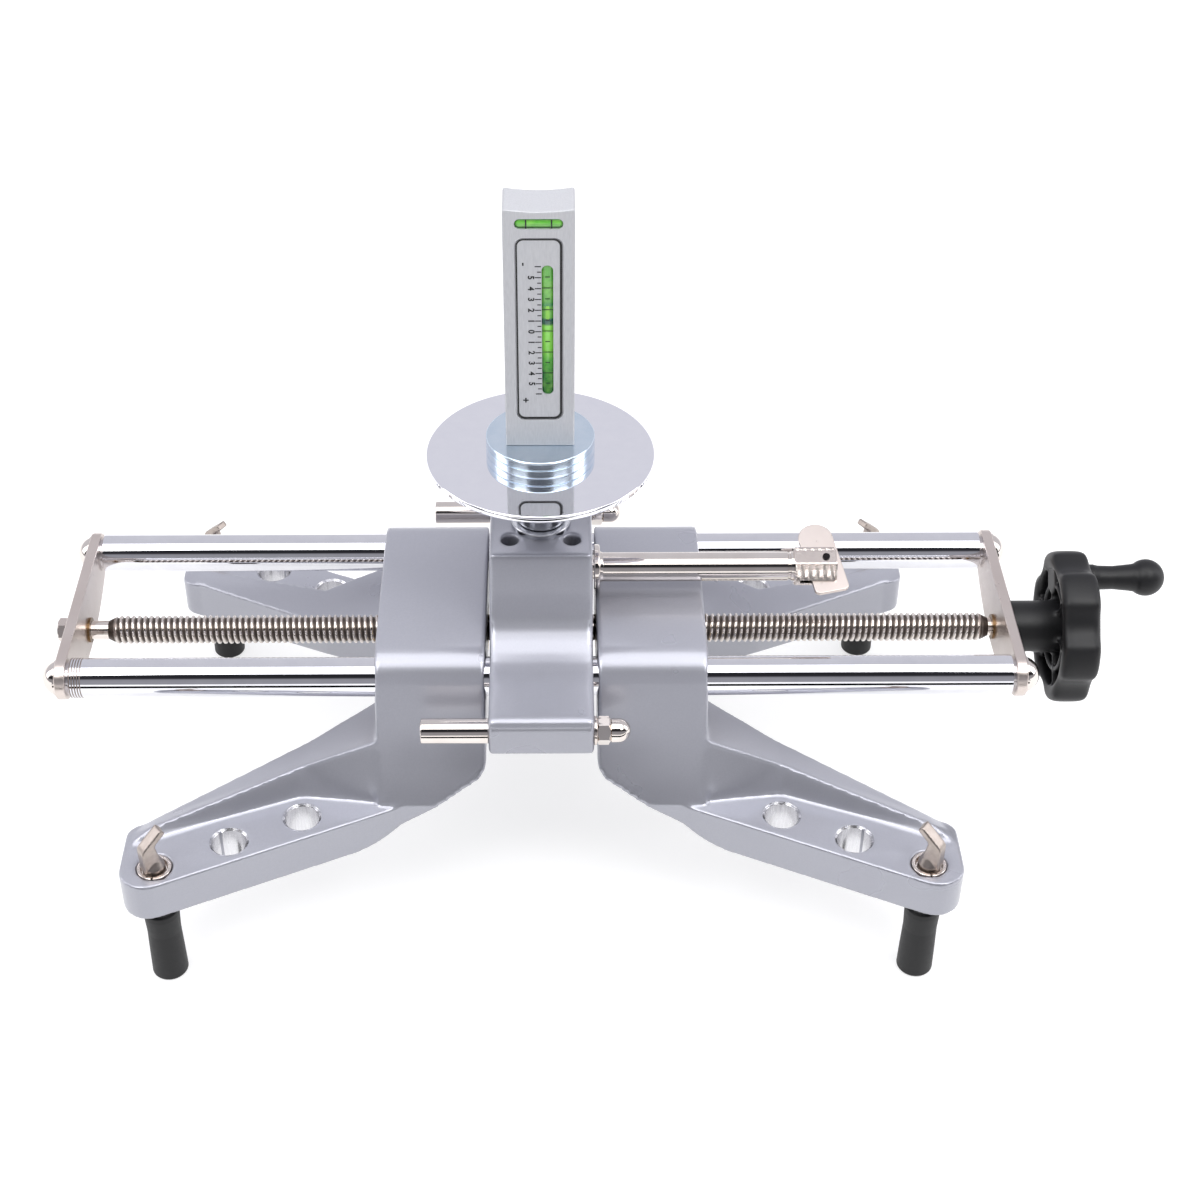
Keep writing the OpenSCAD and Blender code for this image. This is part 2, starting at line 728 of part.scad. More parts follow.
// Brass nut; the left half of the screw is right-handed, the right half left-handed
module screw_nut() color("#b59a55") at_rods() translate([0, 0, -screw_drop]) difference() {
    union() {
        rod_x(nut_d, carriage_in, carriage_out);
        rod_x(nose_d, carriage_out - over, carriage_out + nose_l);
    }
    rod_x(screw_d + 2 * run_gap, carriage_in - over, carriage_out + nose_l + over);
}

module left_screw_nut() mirror([1, 0, 0]) screw_nut();
module right_screw_nut() screw_nut();

module rod_bushes() {
    starts = [carriage_in + rod_bush_inset, carriage_out - rod_bush_inset - rod_bush_l];
    color("#9c7f48") at_rods() both_y(rod_y) for (start = starts) difference() {
        rod_x(rod_d + 2 * (rod_bush_wall + run_gap), start, start + rod_bush_l);
        rod_x(rod_d + 2 * run_gap, start - over, start + rod_bush_l + over);
    }
}

module left_rod_bushes() mirror([1, 0, 0]) rod_bushes();
module right_rod_bushes() rod_bushes();

module lead_screw() color("#c4bfb8") at_rods() translate([0, 0, -screw_drop]) {
    rod_x(screw_d, -plate_in + journal_left, plate_in - journal_right);
    rod_x(journal_d, -plate_out - face_gap, plate_out + face_gap);
    rod_x(screw_end_d, -plate_out - face_gap - 2 * end_nut_h, wheel_out - wheel_face);
}

module screw_end_nuts() {
    start = plate_out + face_gap;
    color("#cfc8bf") at_rods() translate([0, 0, -screw_drop]) for (i = [1, 2]) difference() {
        translate([-start - i * end_nut_h, 0, 0]) lay_x()
            cylinder(d = end_nut_af / cos(180 / hex_sides), h = end_nut_h, $fn = hex_sides);
        rod_x(screw_end_d + 2 * seat_gap, -start - 2 * end_nut_h - over, -start + over);
    }
}

module at_crank() translate([0, crank_r * sin(crank_angle), crank_r * cos(crank_angle)]) children();

// Moulded handwheel: lobed rim, ribbed open back, long hub
module handwheel() {
    rim_r = wheel_d / 2;
    hub_r = hub_d / 2;
    pocket_r = rim_r - lobe_depth - rim_wall;
    boss_d = stud_d + 4 * wheel_rib;
    ring_d = hub_r + pocket_r;
    color("#242427") at_rods() translate([0, 0, -screw_drop]) difference() {
        union() {
            difference() {
                rod_x(wheel_d, wheel_in, wheel_out);
                for (i = [0:lobes - 1])
                    rotate([-crank_angle + (i + 0.5) * 360 / lobes, 0, 0])
                        translate([0, 0, rim_r - lobe_depth + hollow_r])
                            rod_x(2 * hollow_r, wheel_in - over, wheel_out + over);
                rod_x(2 * pocket_r, wheel_in - over, wheel_out - wheel_face);
            }
            intersection() {
                rod_x(2 * pocket_r + over, wheel_in + wheel_rib, wheel_out - wheel_face + over);
                union() {
                    for (i = [0:lobes / 2 - 1])
                        rotate([-crank_angle + i * 360 / lobes, 0, 0])
                            translate([wheel_in, -wheel_rib / 2, -rim_r])
                                cube([wheel_w, wheel_rib, wheel_d]);
                    difference() {
                        rod_x(ring_d + wheel_rib, wheel_in, wheel_out);
                        rod_x(ring_d - wheel_rib, wheel_in, wheel_out - wheel_face);
                    }
                    at_crank() rod_x(boss_d, wheel_in, wheel_out);
                }
            }
            rod_x(hub_d, plate_out + face_gap, wheel_out - over);
        }
        rod_x(screw_end_d + 2 * seat_gap, plate_out, wheel_out - wheel_face + seat_gap);
        at_crank() rod_x(stud_d + 2 * seat_gap, wheel_out - 2 * wheel_face, wheel_out + over);
        translate([plate_out + face_gap + hub_l / 2, 0, 0]) rotate([grub_angle, 0, 0])
            rod_z(grub_d + 2 * seat_gap, 0, hub_r + over);
    }
}

module handwheel_grub_screw() color("#3a3a3e") at_rods()
    translate([plate_out + face_gap + hub_l / 2, 0, -screw_drop]) rotate([grub_angle, 0, 0])
        rod_z(grub_d, screw_end_d / 2 + seat_gap, hub_d / 2 - over);

module crank_stud() color("#b9b9bd") at_rods() translate([0, 0, -screw_drop]) at_crank()
    rod_x(stud_d, wheel_out - 2 * wheel_face, ball_x);

// Knob that spins on the stud
module crank_knob() color("#242427") at_rods() translate([0, 0, -screw_drop]) at_crank() difference() {
    union() {
        rod_x(stem_d, wheel_out + face_gap, ball_x);
        translate([ball_x, 0, 0]) sphere(d = ball_d);
    }
    rod_x(stud_d + 2 * run_gap, wheel_out, ball_x + face_gap);
}

// Places a claw built for the rear right arm, hook towards the spindle
module at_claw(sx, sy) at_rods() mirror([sx < 0 ? 1 : 0, 0, 0]) mirror([0, sy < 0 ? 1 : 0, 0])
    translate([claw_x, claw_y, 0]) rotate([0, 0, atan2(claw_y, claw_x)]) children();

module claw(sx, sy) {
    out = claw_d / 2 + hook_out;
    slope = unit([out + hook_reach, hook_bend_h - hook_h]);
    tip = [-hook_reach, hook_h];
    nose = tip - hook_t * [-slope.y, slope.x];
    neck = out - hook_neck_t;
    color("#c7c1ba") at_claw(sx, sy) {
        rod_z(claw_d, -rod_height + foot_cap, -pad_drop + hook_root_h);
        translate([0, 0, -pad_drop + hook_root_h])
            cylinder(d1 = claw_d, d2 = claw_d / 2, h = hook_cone_h);
        translate([0, hook_w / 2, -pad_drop]) rotate([90, 0, 0]) linear_extrude(hook_w)
            polygon(rounded([
                [out, face_gap, 0],
                [out, hook_bend_h, hook_bend_r],
                [tip.x, tip.y, 0],
                [nose.x, nose.y, 0],
                [neck, nose.y + (neck - nose.x) * slope.y / slope.x, hook_inner_r],
                [-claw_d / 3, hook_root_h, 0],
                [-claw_d / 3, face_gap, 0]
            ]));
    }
}

module claw_bush(sx, sy) color("#bdb7b0") at_claw(sx, sy) difference() {
    rod_z(hole_d - 2 * run_gap, -pad_bottom - foot_gap + face_gap, -pad_drop);
    rod_z(claw_d + 2 * seat_gap, -pad_bottom - foot_gap - over, -pad_drop + over);
}

module rubber_foot(sx, sy) color("#1c1c1e") at_claw(sx, sy) difference() {
    rod_z(foot_d, -rod_height, -pad_bottom - foot_gap + face_gap);
    rod_z(claw_d + 2 * seat_gap, -rod_height + foot_cap, -pad_bottom);
}

module mirror_disc() color("#e3e5ea") at_rods() difference() {
    rod_z(disc_d, disc_bottom, disc_top);
    rod_z(disc_screw_d + 2 * seat_gap, disc_bottom - over, disc_top + over);
    translate([0, 0, disc_top - disc_screw_d / 2])
        cylinder(
            d1 = disc_screw_d + 2 * seat_gap,
            d2 = 2 * disc_screw_d + 2 * seat_gap,
            h = disc_screw_d / 2
        );
}

module disc_screw() color("#c9c9cd") at_rods() {
    rod_z(disc_screw_d, disc_bottom - 3 * disc_flange_t, disc_top - disc_screw_d / 4);
    translate([0, 0, disc_top - disc_screw_d / 2])
        cylinder(d1 = disc_screw_d, d2 = 2 * disc_screw_d, h = disc_screw_d / 2);
}

module spindle() color("#b4b6bb") at_rods() difference() {
    union() {
        rod_z(spindle_d, spindle_foot, disc_bottom);
        rod_z(neck_d, tower_h + bearing_ring_h + face_gap, disc_bottom);
        rod_z(disc_flange_d, disc_bottom - disc_flange_t, disc_bottom);
    }
    difference() {
        rod_z(spindle_d + over, lock_up - groove_w / 2, lock_up + groove_w / 2);
        rod_z(groove_d, lock_up - groove_w, lock_up + groove_w);
    }
    rod_z(disc_screw_d + 2 * seat_gap, disc_bottom - 3 * disc_flange_t - over, disc_bottom + over);
}

module at_gauge() at_rods() translate([0, gauge_back, 0]) children();

// Outline of the scale plate, grown by a gap, standing in the body's front
module scale_block(gap, depth) {
    w = scale_w / 2 + gap;
    low = body_bottom + scale_up - gap;
    high = body_bottom + scale_up + scale_h + gap;
    r = scale_r + gap;
    translate([0, -gauge_depth / 2 + depth, 0]) rotate([90, 0, 0])
        linear_extrude(depth + (gap > 0 ? over : 0))
            polygon(rounded([[-w, low, r], [w, low, r], [w, high, r], [-w, high, r]]));
}

slot_mid = body_bottom + scale_up + scale_h / 2;
vial_y = -gauge_depth / 2 + scale_t + vial_d / 2 + seat_gap;
level_z = body_bottom + gauge_h - level_down;

module gauge_body() color("#b9bbbe") at_gauge() difference() {
    translate([-gauge_w / 2, -gauge_depth / 2, body_bottom]) cube([gauge_w, gauge_depth, gauge_h]);
    dish_r = (pow(gauge_w / 2, 2) + pow(dish_depth, 2)) / (2 * dish_depth);
    translate([0, gauge_depth, body_bottom + gauge_h - dish_depth + dish_r])
        rotate([90, 0, 0]) cylinder(r = dish_r, h = 2 * gauge_depth, $fn = 360);
    scale_block(seat_gap, scale_t);
    translate([slot_side, vial_y, slot_mid - slot_h / 2 - scale_r]) {
        bore = vial_d + 2 * seat_gap;
        bore_h = slot_h + 2 * scale_r;
        cylinder(d = bore, h = bore_h);
        translate([-bore / 2, -vial_d, 0]) cube([bore, vial_d, bore_h]);
    }
    translate([0, -gauge_depth / 2, level_z])
        cube([level_w, 2 * level_d, level_d] + 2 * seat_gap * [1, 1, 1], center = true);
    rod_z(cup_screw_d + 2 * seat_gap, body_bottom - over, body_bottom + 2 * cup_h);
}

module scale_plate() color("#c9cacd") at_gauge() difference() {
    scale_block(0, scale_t);
    translate([slot_side, -gauge_depth / 2, slot_mid]) cube([slot_w, 4 * scale_t, slot_h], center = true);
}

module camber_vial() color("#8fd14f") at_gauge()
    translate([slot_side, vial_y, slot_mid - slot_h / 2 - scale_r + seat_gap])
        cylinder(d = vial_d, h = slot_h + 2 * scale_r - 2 * seat_gap);

module level_vial() color("#8fd14f") at_gauge()
    translate([0, -gauge_depth / 2 + level_d / 2 + seat_gap, level_z])
        rod_x(level_d, -level_w / 2, level_w / 2);

module magnet_cup() color("#bfc6cf") at_gauge() difference() {
    rod_z(cup_d, gauge_bottom, body_bottom);
    rod_z(cup_d - 2 * cup_wall, gauge_bottom - over, gauge_bottom + magnet_t);
    rod_z(cup_screw_d + 2 * seat_gap, gauge_bottom, body_bottom + over);
}

module ring_magnet() color("#4b4b50") at_gauge() difference() {
    rod_z(cup_d - 2 * cup_wall - 2 * seat_gap, gauge_bottom, gauge_bottom + magnet_t);
    rod_z(magnet_bore, gauge_bottom - over, gauge_bottom + magnet_t + over);
}

module cup_screw() color("#b9b9bd") at_gauge() {
    rod_z(2 * cup_screw_d, gauge_bottom + magnet_t - cup_screw_d / 2, gauge_bottom + magnet_t);
    rod_z(cup_screw_d, gauge_bottom + magnet_t - over, body_bottom + 2 * cup_h - over);
}

module at_lock() at_rods() translate([0, 0, lock_up]) rotate([lock_turn, 0, 0]) children();

module wing_slot() translate([collar_end - wing_slot_l, -collar_d, -wing_t / 2 - face_gap / 2])
    cube([wing_slot_l + over, 2 * collar_d, wing_t + face_gap]);

module lock_screw() color("#cfc8bf") at_lock() difference() {
    union() {
        rod_x(lock_thread_d, groove_d / 2 + face_gap, lock_flange_x + over);
        rod_x(lock_flange_d, lock_flange_x, lock_flange_x + lock_flange_t);
        rod_x(lock_rod_d, lock_flange_x, collar_end - over);
    }
    wing_slot();
    translate([wing_pin_x, 0, 0]) rod_z(wing_pin_d + 2 * seat_gap, -lock_rod_d, lock_rod_d);
}

module lock_collar() color("#c7c0b7") at_lock() difference() {
    rod_x(collar_d, collar_x, collar_end);
    rod_x(lock_rod_d + 2 * seat_gap, collar_x - over, collar_end + over);
    wing_slot();
    translate([wing_pin_x, 0, 0]) rod_z(wing_pin_d + 2 * seat_gap, -collar_d, collar_d);
}

module wing_pin() color("#8d8a86") at_lock() translate([wing_pin_x, 0, 0])
    rod_z(wing_pin_d, -collar_d / 2 + face_gap, collar_d / 2 - face_gap);

// Loose wing: round at the rear end, square at the front end
module lock_wing() {
    half = wing_w / 2;
    outline = [
        [-half, -wing_short, wing_corner_r],
        [half, -wing_short, wing_corner_r],
        [half, wing_long, half - over],
        [-half, wing_long, half - over]
    ];
    color("#e2dcd2") at_lock() translate([wing_pin_x, 0, -wing_t / 2]) rotate([0, 0, wing_swing])
        difference() {
            linear_extrude(wing_t) polygon(rounded(outline));
            rod_z(wing_pin_d + 2 * run_gap, -over, wing_t + over);
        }
}

centre_bracket();
translate([0, -rod_y, 0]) guide_rod();  // front_guide_rod
translate([0, rod_y, 0]) guide_rod();  // rear_guide_rod
left_end_plate();
right_end_plate();
rod_end_screws();
cross_bolt(-1);  // front_cross_bolt
cross_bolt(1);  // rear_cross_bolt
sleeve_nut(-1);  // front_sleeve_nut
sleeve_nut(1);  // rear_sleeve_nut
acorn_nuts();
acorn_washers();
screw_bushes();
spindle_bearing();
left_carriage();
left_screw_nut();
left_rod_bushes();
right_carriage();
right_screw_nut();
right_rod_bushes();
lead_screw();
screw_end_nuts();
handwheel();
handwheel_grub_screw();
crank_stud();
crank_knob();
claw(-1, -1);  // claw_front_left
claw(1, -1);  // claw_front_right
claw(-1, 1);  // claw_rear_left
claw(1, 1);  // claw_rear_right
claw_bush(-1, -1);  // claw_bush_front_left
claw_bush(1, -1);  // claw_bush_front_right
claw_bush(-1, 1);  // claw_bush_rear_left
claw_bush(1, 1);  // claw_bush_rear_right
rubber_foot(-1, -1);  // rubber_foot_front_left
rubber_foot(1, -1);  // rubber_foot_front_right
rubber_foot(-1, 1);  // rubber_foot_rear_left
rubber_foot(1, 1);  // rubber_foot_rear_right
mirror_disc();
spindle();
disc_screw();
gauge_body();
magnet_cup();
ring_magnet();
cup_screw();
scale_plate();
camber_vial();
level_vial();
lock_screw();
lock_collar();
wing_pin();
lock_wing();
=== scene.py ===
import math

import bmesh
import bpy
import numpy as np
from mathutils import Matrix, Vector


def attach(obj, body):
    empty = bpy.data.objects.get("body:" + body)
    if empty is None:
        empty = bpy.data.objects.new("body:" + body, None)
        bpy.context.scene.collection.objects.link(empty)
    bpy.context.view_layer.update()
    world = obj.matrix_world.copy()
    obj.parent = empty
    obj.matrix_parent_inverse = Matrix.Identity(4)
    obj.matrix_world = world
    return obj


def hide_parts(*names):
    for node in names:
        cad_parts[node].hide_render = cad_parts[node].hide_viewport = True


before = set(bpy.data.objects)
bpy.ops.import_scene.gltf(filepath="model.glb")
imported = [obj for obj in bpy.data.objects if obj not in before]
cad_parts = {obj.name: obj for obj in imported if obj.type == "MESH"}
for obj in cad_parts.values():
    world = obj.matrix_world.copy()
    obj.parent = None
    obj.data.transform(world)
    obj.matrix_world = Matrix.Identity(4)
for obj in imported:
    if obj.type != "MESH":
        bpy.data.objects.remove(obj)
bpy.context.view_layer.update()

# Centre bracket. An aluminium casting that sweeps down from its tower over both
# guide rods. Its edges keep the soft radius of the mould; it is linished and
# then sprayed with a silver-grey metallic lacquer.
mm = 0.001
rods_z = 104.5
bracket_half = 20.75
casting_square = 0.8
bracket_passes = 8


def linear(hex_colour):
    """sRGB hex to the linear colour that a shader socket takes."""
    parts = [int(hex_colour[i : i + 2], 16) / 255 for i in (1, 3, 5)]
    return [p / 12.92 if p <= 0.04045 else ((p + 0.055) / 1.055) ** 2.4 for p in parts] + [1.0]


def new_material(name):
    material = bpy.data.materials.new(name)
    material.use_nodes = True
    material.node_tree.nodes.clear()
    return material


def add_node(material, kind, sockets, out=0, **settings):
    """Adds a shader node, linking or setting its sockets, and gives the output named by out."""
    tree = material.node_tree
    node = tree.nodes.new("ShaderNode" + kind)
    for name, value in settings.items():
        setattr(node, name, value)
    for name, value in sockets.items():
        if isinstance(value, bpy.types.NodeSocket):
            tree.links.new(value, node.inputs[name])
        else:
            node.inputs[name].default_value = value
    return node.outputs[out] if node.outputs else None


def surface_of(material, sockets):
    """Ends a material in one principled surface with those sockets."""
    add_node(material, "OutputMaterial", {"Surface": add_node(material, "BsdfPrincipled", sockets)})


def mottled(name, tone, gloss, dents=None, metallic=1.0, **more):
    """Material whose colour, gloss and dents follow noise fields of (size in mm, detail, stretch).

    tone is (field, dark, light); gloss is (field, least, most, floor of the field) or one
    roughness; dents is (field, strength, depth in mm).
    """
    material = new_material(name)
    place = add_node(material, "TexCoord", {}, "Object")
    fields = {}

    def noise(field):
        if field not in fields:
            size, detail, *stretch = field
            spot = add_node(material, "Mapping", {"Vector": place, "Scale": stretch[0]}) if stretch else place
            fields[field] = add_node(
                material, "TexNoise", {"Vector": spot, "Scale": 1 / (size * mm), "Detail": detail}
            )
        return fields[field]

    field, dark, light = tone
    ends = {"Fac": noise(field), "Color1": linear(dark), "Color2": linear(light)}
    sockets = {"Base Color": add_node(material, "MixRGB", ends), "Metallic": metallic, "Roughness": gloss}
    if isinstance(gloss, tuple):
        field, least, most, *floor = gloss
        span = {"Value": noise(field), "From Min": floor[0] if floor else 0.0}
        span |= {"To Min": least, "To Max": most}
        sockets["Roughness"] = add_node(material, "MapRange", span)
    if dents:
        field, strength, depth = dents
        relief = {"Height": noise(field), "Strength": strength, "Distance": depth * mm}
        sockets["Normal"] = add_node(material, "Bump", relief)
    surface_of(material, {**sockets, **more})
    return material


# Metallic lacquer on cast aluminium: half gloss, a faint cloud in the grey, and
# flakes drawn at 0.7 mm because the real ones are too fine to show
casting_lacquer = new_material("casting_lacquer")
place = add_node(casting_lacquer, "TexCoord", {}, "Object")
cloud = add_node(casting_lacquer, "TexNoise", {"Vector": place, "Scale": 1 / (40 * mm), "Detail": 3.0})
flake = add_node(casting_lacquer, "TexNoise", {"Vector": place, "Scale": 1 / (0.7 * mm), "Detail": 1.0})
mixed = add_node(casting_lacquer, "Math", {0: cloud, 1: flake}, operation="MULTIPLY")
greys = {"Fac": mixed, "Color1": linear("#A9AAB3"), "Color2": linear("#B8B9C1")}
peel = {"Height": flake, "Strength": 0.05, "Distance": 0.1 * mm}
surface_of(
    casting_lacquer,
    {
        "Base Color": add_node(casting_lacquer, "MixRGB", greys),
        "Metallic": 0.5,
        "Roughness": add_node(casting_lacquer, "MapRange", {"Value": cloud, "To Min": 0.25, "To Max": 0.32}),
        "Normal": add_node(casting_lacquer, "Bump", peel),
        "Coat Weight": 0.3,
        "Coat Roughness": 0.1,
    },
)


def linked(name, data):
    """Object in the scene that shows that data."""
    thing = bpy.data.objects.new(name, data)
    bpy.context.scene.collection.objects.link(thing)
    return thing


def mesh_of(thing):
    """The object's shape as a mesh, its modifiers worked in; the object itself goes."""
    mesh = bpy.data.meshes.new_from_object(thing.evaluated_get(bpy.context.evaluated_depsgraph_get()))
    bpy.data.objects.remove(thing)
    return mesh


def soften(mesh, passes, share=None):
    """Rounds corners: each pass moves every vertex half way to the middle of its neighbours."""
    count = len(mesh.vertices)
    spots = np.empty(count * 3)
    mesh.vertices.foreach_get("co", spots)
    spots = spots.reshape(-1, 3)
    pairs = np.empty(len(mesh.edges) * 2, dtype=np.int32)
    mesh.edges.foreach_get("vertices", pairs)
    first, second = pairs.reshape(-1, 2).T
    around = np.bincount(pairs, minlength=count)
    pull = 0.5 if share is None else 0.5 * share(spots)
    for _ in range(passes):
        for axis in range(3):
            line = spots[:, axis]
            near = np.bincount(first, line[second], count) + np.bincount(second, line[first], count)
            line += pull * (near / around - line)
    mesh.vertices.foreach_set("co", spots.ravel())
    mesh.update()


def moulded(node, square, passes):
    """A solid's mesh drawn again in even squares of that size in mm, with its corners rounded."""
    copy = linked(node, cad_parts[node].data.copy())
    even = copy.modifiers.new("even squares", "REMESH")
    even.mode = "VOXEL"
    even.voxel_size = square * mm
    mesh = mesh_of(copy)
    soften(mesh, passes)
    mesh.shade_smooth()
    return mesh


def add_piece(name, mesh, body, material, slot, *nodes):
    """Sets a mesh on a body, in place of the CAD nodes named."""
    thing = linked(name, mesh)
    mesh.materials.clear()
    mesh.materials.append(material)
    even = thing.modifiers.new("flat faces shaded flat", "WEIGHTED_NORMAL")
    even.keep_sharp = True
    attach(thing, body)
    if nodes:
        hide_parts(*nodes)


def dress(node, material):
    """Gives a CAD node that stays as it is its real material."""
    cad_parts[node].material_slots[0].material = material


bracket = moulded("centre_bracket", casting_square, bracket_passes)
add_piece("bracket_casting", bracket, "frame", casting_lacquer, "casting_paint", "centre_bracket")

# Guide rods. Two 16 mm bars of ground steel with hard chrome; the front one has
# a short threaded collar at its left end, left dull. They butt against the end
# plates, which screws from outside pull on to them.
rod_r = 8.0
rod_y = 42.0
plate_in = 190.75
groove_w = 0.9
groove_r = 6.2
rod_edge = 0.4


def eased(corners, steps=4):
    """Outline through (a, b, radius) corners in mm, each radius drawn as an arc."""
    line = []
    for i, (a, b, radius) in enumerate(corners):
        here = Vector((a, b))
        if radius == 0:
            line.append(here)
            continue
        before = (Vector(corners[i - 1][:2]) - here).normalized()
        after = (Vector(corners[(i + 1) % len(corners)][:2]) - here).normalized()
        half = before.angle(after) / 2
        middle = here + (before + after).normalized() * radius / math.sin(half)
        start = here + before * radius / math.tan(half) - middle
        end = here + after * radius / math.tan(half) - middle
        line += [middle + start.lerp(end, k / steps).normalized() * radius for k in range(steps + 1)]
    return line


def facing(axis, a, b, along):
    """Point in metres from two coordinates across an axis and one along it, in mm."""
    return Vector({"X": (along, a, b), "Y": (a, along, b), "Z": (a, b, along)}[axis]) * mm


def smoothed(mesh):
    """Smooth shading, but crisp where two faces meet at more than 38 degrees."""
    mesh.shade_smooth()
    mesh.set_sharp_from_angle(angle=math.radians(38))
    return mesh


def as_mesh(name, spots, faces):
    """Mesh with doubled points joined and normals outward."""
    mesh = bpy.data.meshes.new(name)
    mesh.from_pydata(spots, [], faces)
    shape = bmesh.new()
    shape.from_mesh(mesh)
    bmesh.ops.remove_doubles(shape, verts=shape.verts, dist=0.002 * mm)
    bmesh.ops.recalc_face_normals(shape, faces=shape.faces)
    shape.to_mesh(mesh)
    shape.free()
    return smoothed(mesh)


def circle(axis, centre, along, radius, steps):
    """Points in metres round an axis; radius is in mm, or a function that gives it for an angle."""
    spots = []
    for k in range(steps):
        angle = math.tau * k / steps
        reach = radius(angle) if callable(radius) else radius
        spot = facing(axis, reach * math.cos(angle), reach * math.sin(angle), along)
        spots.append(spot + Vector(centre) * mm)
    return spots


def tube(rows, steps, ring=False):
    """Faces between circles of points that follow each other; in a ring the last meets the first."""
    faces = []
    for i in range(rows if ring else rows - 1):
        j = (i + 1) % rows
        for k in range(steps):
            n = (k + 1) % steps
            faces.append((i * steps + k, i * steps + n, j * steps + n, j * steps + k))
    return faces


def turned(axis, centre, profile, ring=False, steps=96):
    """Mesh turned round an axis from (along, radius, corner radius) points; a ring's profile is closed."""
    line = eased(profile)
    spots = [spot for along, radius in line for spot in circle(axis, centre, along, radius, steps)]
    return as_mesh("turned", spots, tube(len(line), steps, ring))


# Hard chrome over ground steel: near-mirror, with the faint lengthwise haze of
# polishing; scratches drawn at 1.5 mm across so that they show
hard_chrome = mottled(
    "hard_chrome",
    tone=((9, 5.0), "#DCDCE2", "#EDEDF0"),
    gloss=((1.5, 4.0, (0.06, 1.0, 1.0)), 0.03, 0.13, 0.35),
    dents=((9, 5.0), 0.12, 0.05),
)

inner = plate_in - groove_w
half_profile = [(inner, rod_r, rod_edge), (inner, groove_r, 0), (plate_in, groove_r, 0), (plate_in, 0, 0)]
rod_profile = [(-x, r, edge) for x, r, edge in reversed(half_profile)] + half_profile
for side, node in ((-1, "front_guide_rod"), (1, "rear_guide_rod")):
    rod = turned("X", (0, side * rod_y, rods_z), rod_profile)
    add_piece(node + "_bar", rod, "frame", hard_chrome, "hard_chrome", node)

# End plates. Laser-cut steel, 4.5 mm thick, bowed down under the screw, tumbled
# to break the edges and nickel plated warm and satin.
plate_t = 4.5
plate_end_r = 8.8
plate_drop = 17.8
plate_edge = 0.7
end_steps = 16
bow_steps = 24


def cut_plate(axis, outline, low, high, edge=0.0):
    """Plate of an outline between two distances along an axis, its rims broken by edge mm."""
    count = len(outline)
    shape = bmesh.new()
    verts = [shape.verts.new(facing(axis, p[0], p[1], along)) for along in (low, high) for p in outline]
    shape.faces.new(verts[:count])
    shape.faces.new(verts[count:])
    for i in range(count):
        j = (i + 1) % count
        shape.faces.new((verts[i], verts[j], verts[count + j], verts[count + i]))
    bmesh.ops.recalc_face_normals(shape, faces=shape.faces)
    if edge:
        rims = [e for e in shape.edges if any(len(f.verts) == count for f in e.link_faces)]
        bmesh.ops.bevel(
            shape, geom=rims, offset=edge * mm, segments=3, profile=0.5, affect="EDGES", clamp_overlap=True
        )
    mesh = bpy.data.meshes.new("plate")
    shape.to_mesh(mesh)
    shape.free()
    return smoothed(mesh)


def rectangle(a0, a1, b0, b1):
    """Corners of a rectangle, for cut_plate."""
    return [(a0, b0), (a1, b0), (a1, b1), (a0, b1)]


# Satin nickel on tumbled steel: warm grey, every reflection blurred by the
# tumbling, whose fine pits are drawn at 2 mm
satin_nickel = mottled(
    "satin_nickel",
    tone=((18, 3.0), "#CFC3BC", "#E2D8D2"),
    gloss=((2, 4.0), 0.24, 0.36),
    dents=((2, 4.0), 0.12, 0.05),
)

# Bright nickel on turned and bent steel: warm, a little milky, with faint pits
bright_nickel = mottled(
    "bright_nickel",
    tone=((14, 2.0), "#D2C6BE", "#E6DED8"),
    gloss=((2, 4.0), 0.09, 0.2),
    dents=((2, 4.0), 0.1, 0.05),
)


def plate_end(y, first_angle):
    """Half circle of the plate's outline round a rod."""
    turns = [math.radians(first_angle - 180 * k / end_steps) for k in range(end_steps + 1)]
    return [(y + plate_end_r * math.cos(turn), rods_z + plate_end_r * math.sin(turn)) for turn in turns]


bow = []
for k in range(1, bow_steps):
    y = rod_y - 2 * rod_y * k / bow_steps
    bow.append((y, rods_z - plate_end_r - (plate_drop - plate_end_r) * (1 - (y / rod_y) ** 2)))
plate_outline = plate_end(rod_y, 90) + bow + plate_end(-rod_y, 270)

for side, node in ((-1, "left_end_plate"), (1, "right_end_plate")):
    low, high = sorted((side * plate_in, side * (plate_in + plate_t)))
    blank = cut_plate("X", plate_outline, low, high, plate_edge)
    add_piece(node + "_steel", blank, "frame", satin_nickel, "nickel_plate", node)

# Rod end screws. Four dome-headed steel screws, nickel plated and polished, that
# pull the end plates against the rods.
dome_r = 7.3
dome_h = 6.0
dome_foot = 0.8
dome_steps = 12

# Polished nickel: the same plating on a finely turned face, brighter and closer
# to a mirror
polished_nickel = mottled(
    "polished_nickel",
    tone=((11, 2.0), "#D9D0C9", "#EBE5E0"),
    gloss=((1.2, 3.0), 0.04, 0.11),
    dents=((11, 2.0), 0.1, 0.04),
)


def joined(meshes):
    """Several meshes as one, for like pieces that share a node."""
    shape = bmesh.new()
    for mesh in meshes:
        shape.from_mesh(mesh)
    whole = bpy.data.meshes.new("joined")
    shape.to_mesh(whole)
    shape.free()
    return smoothed(whole)


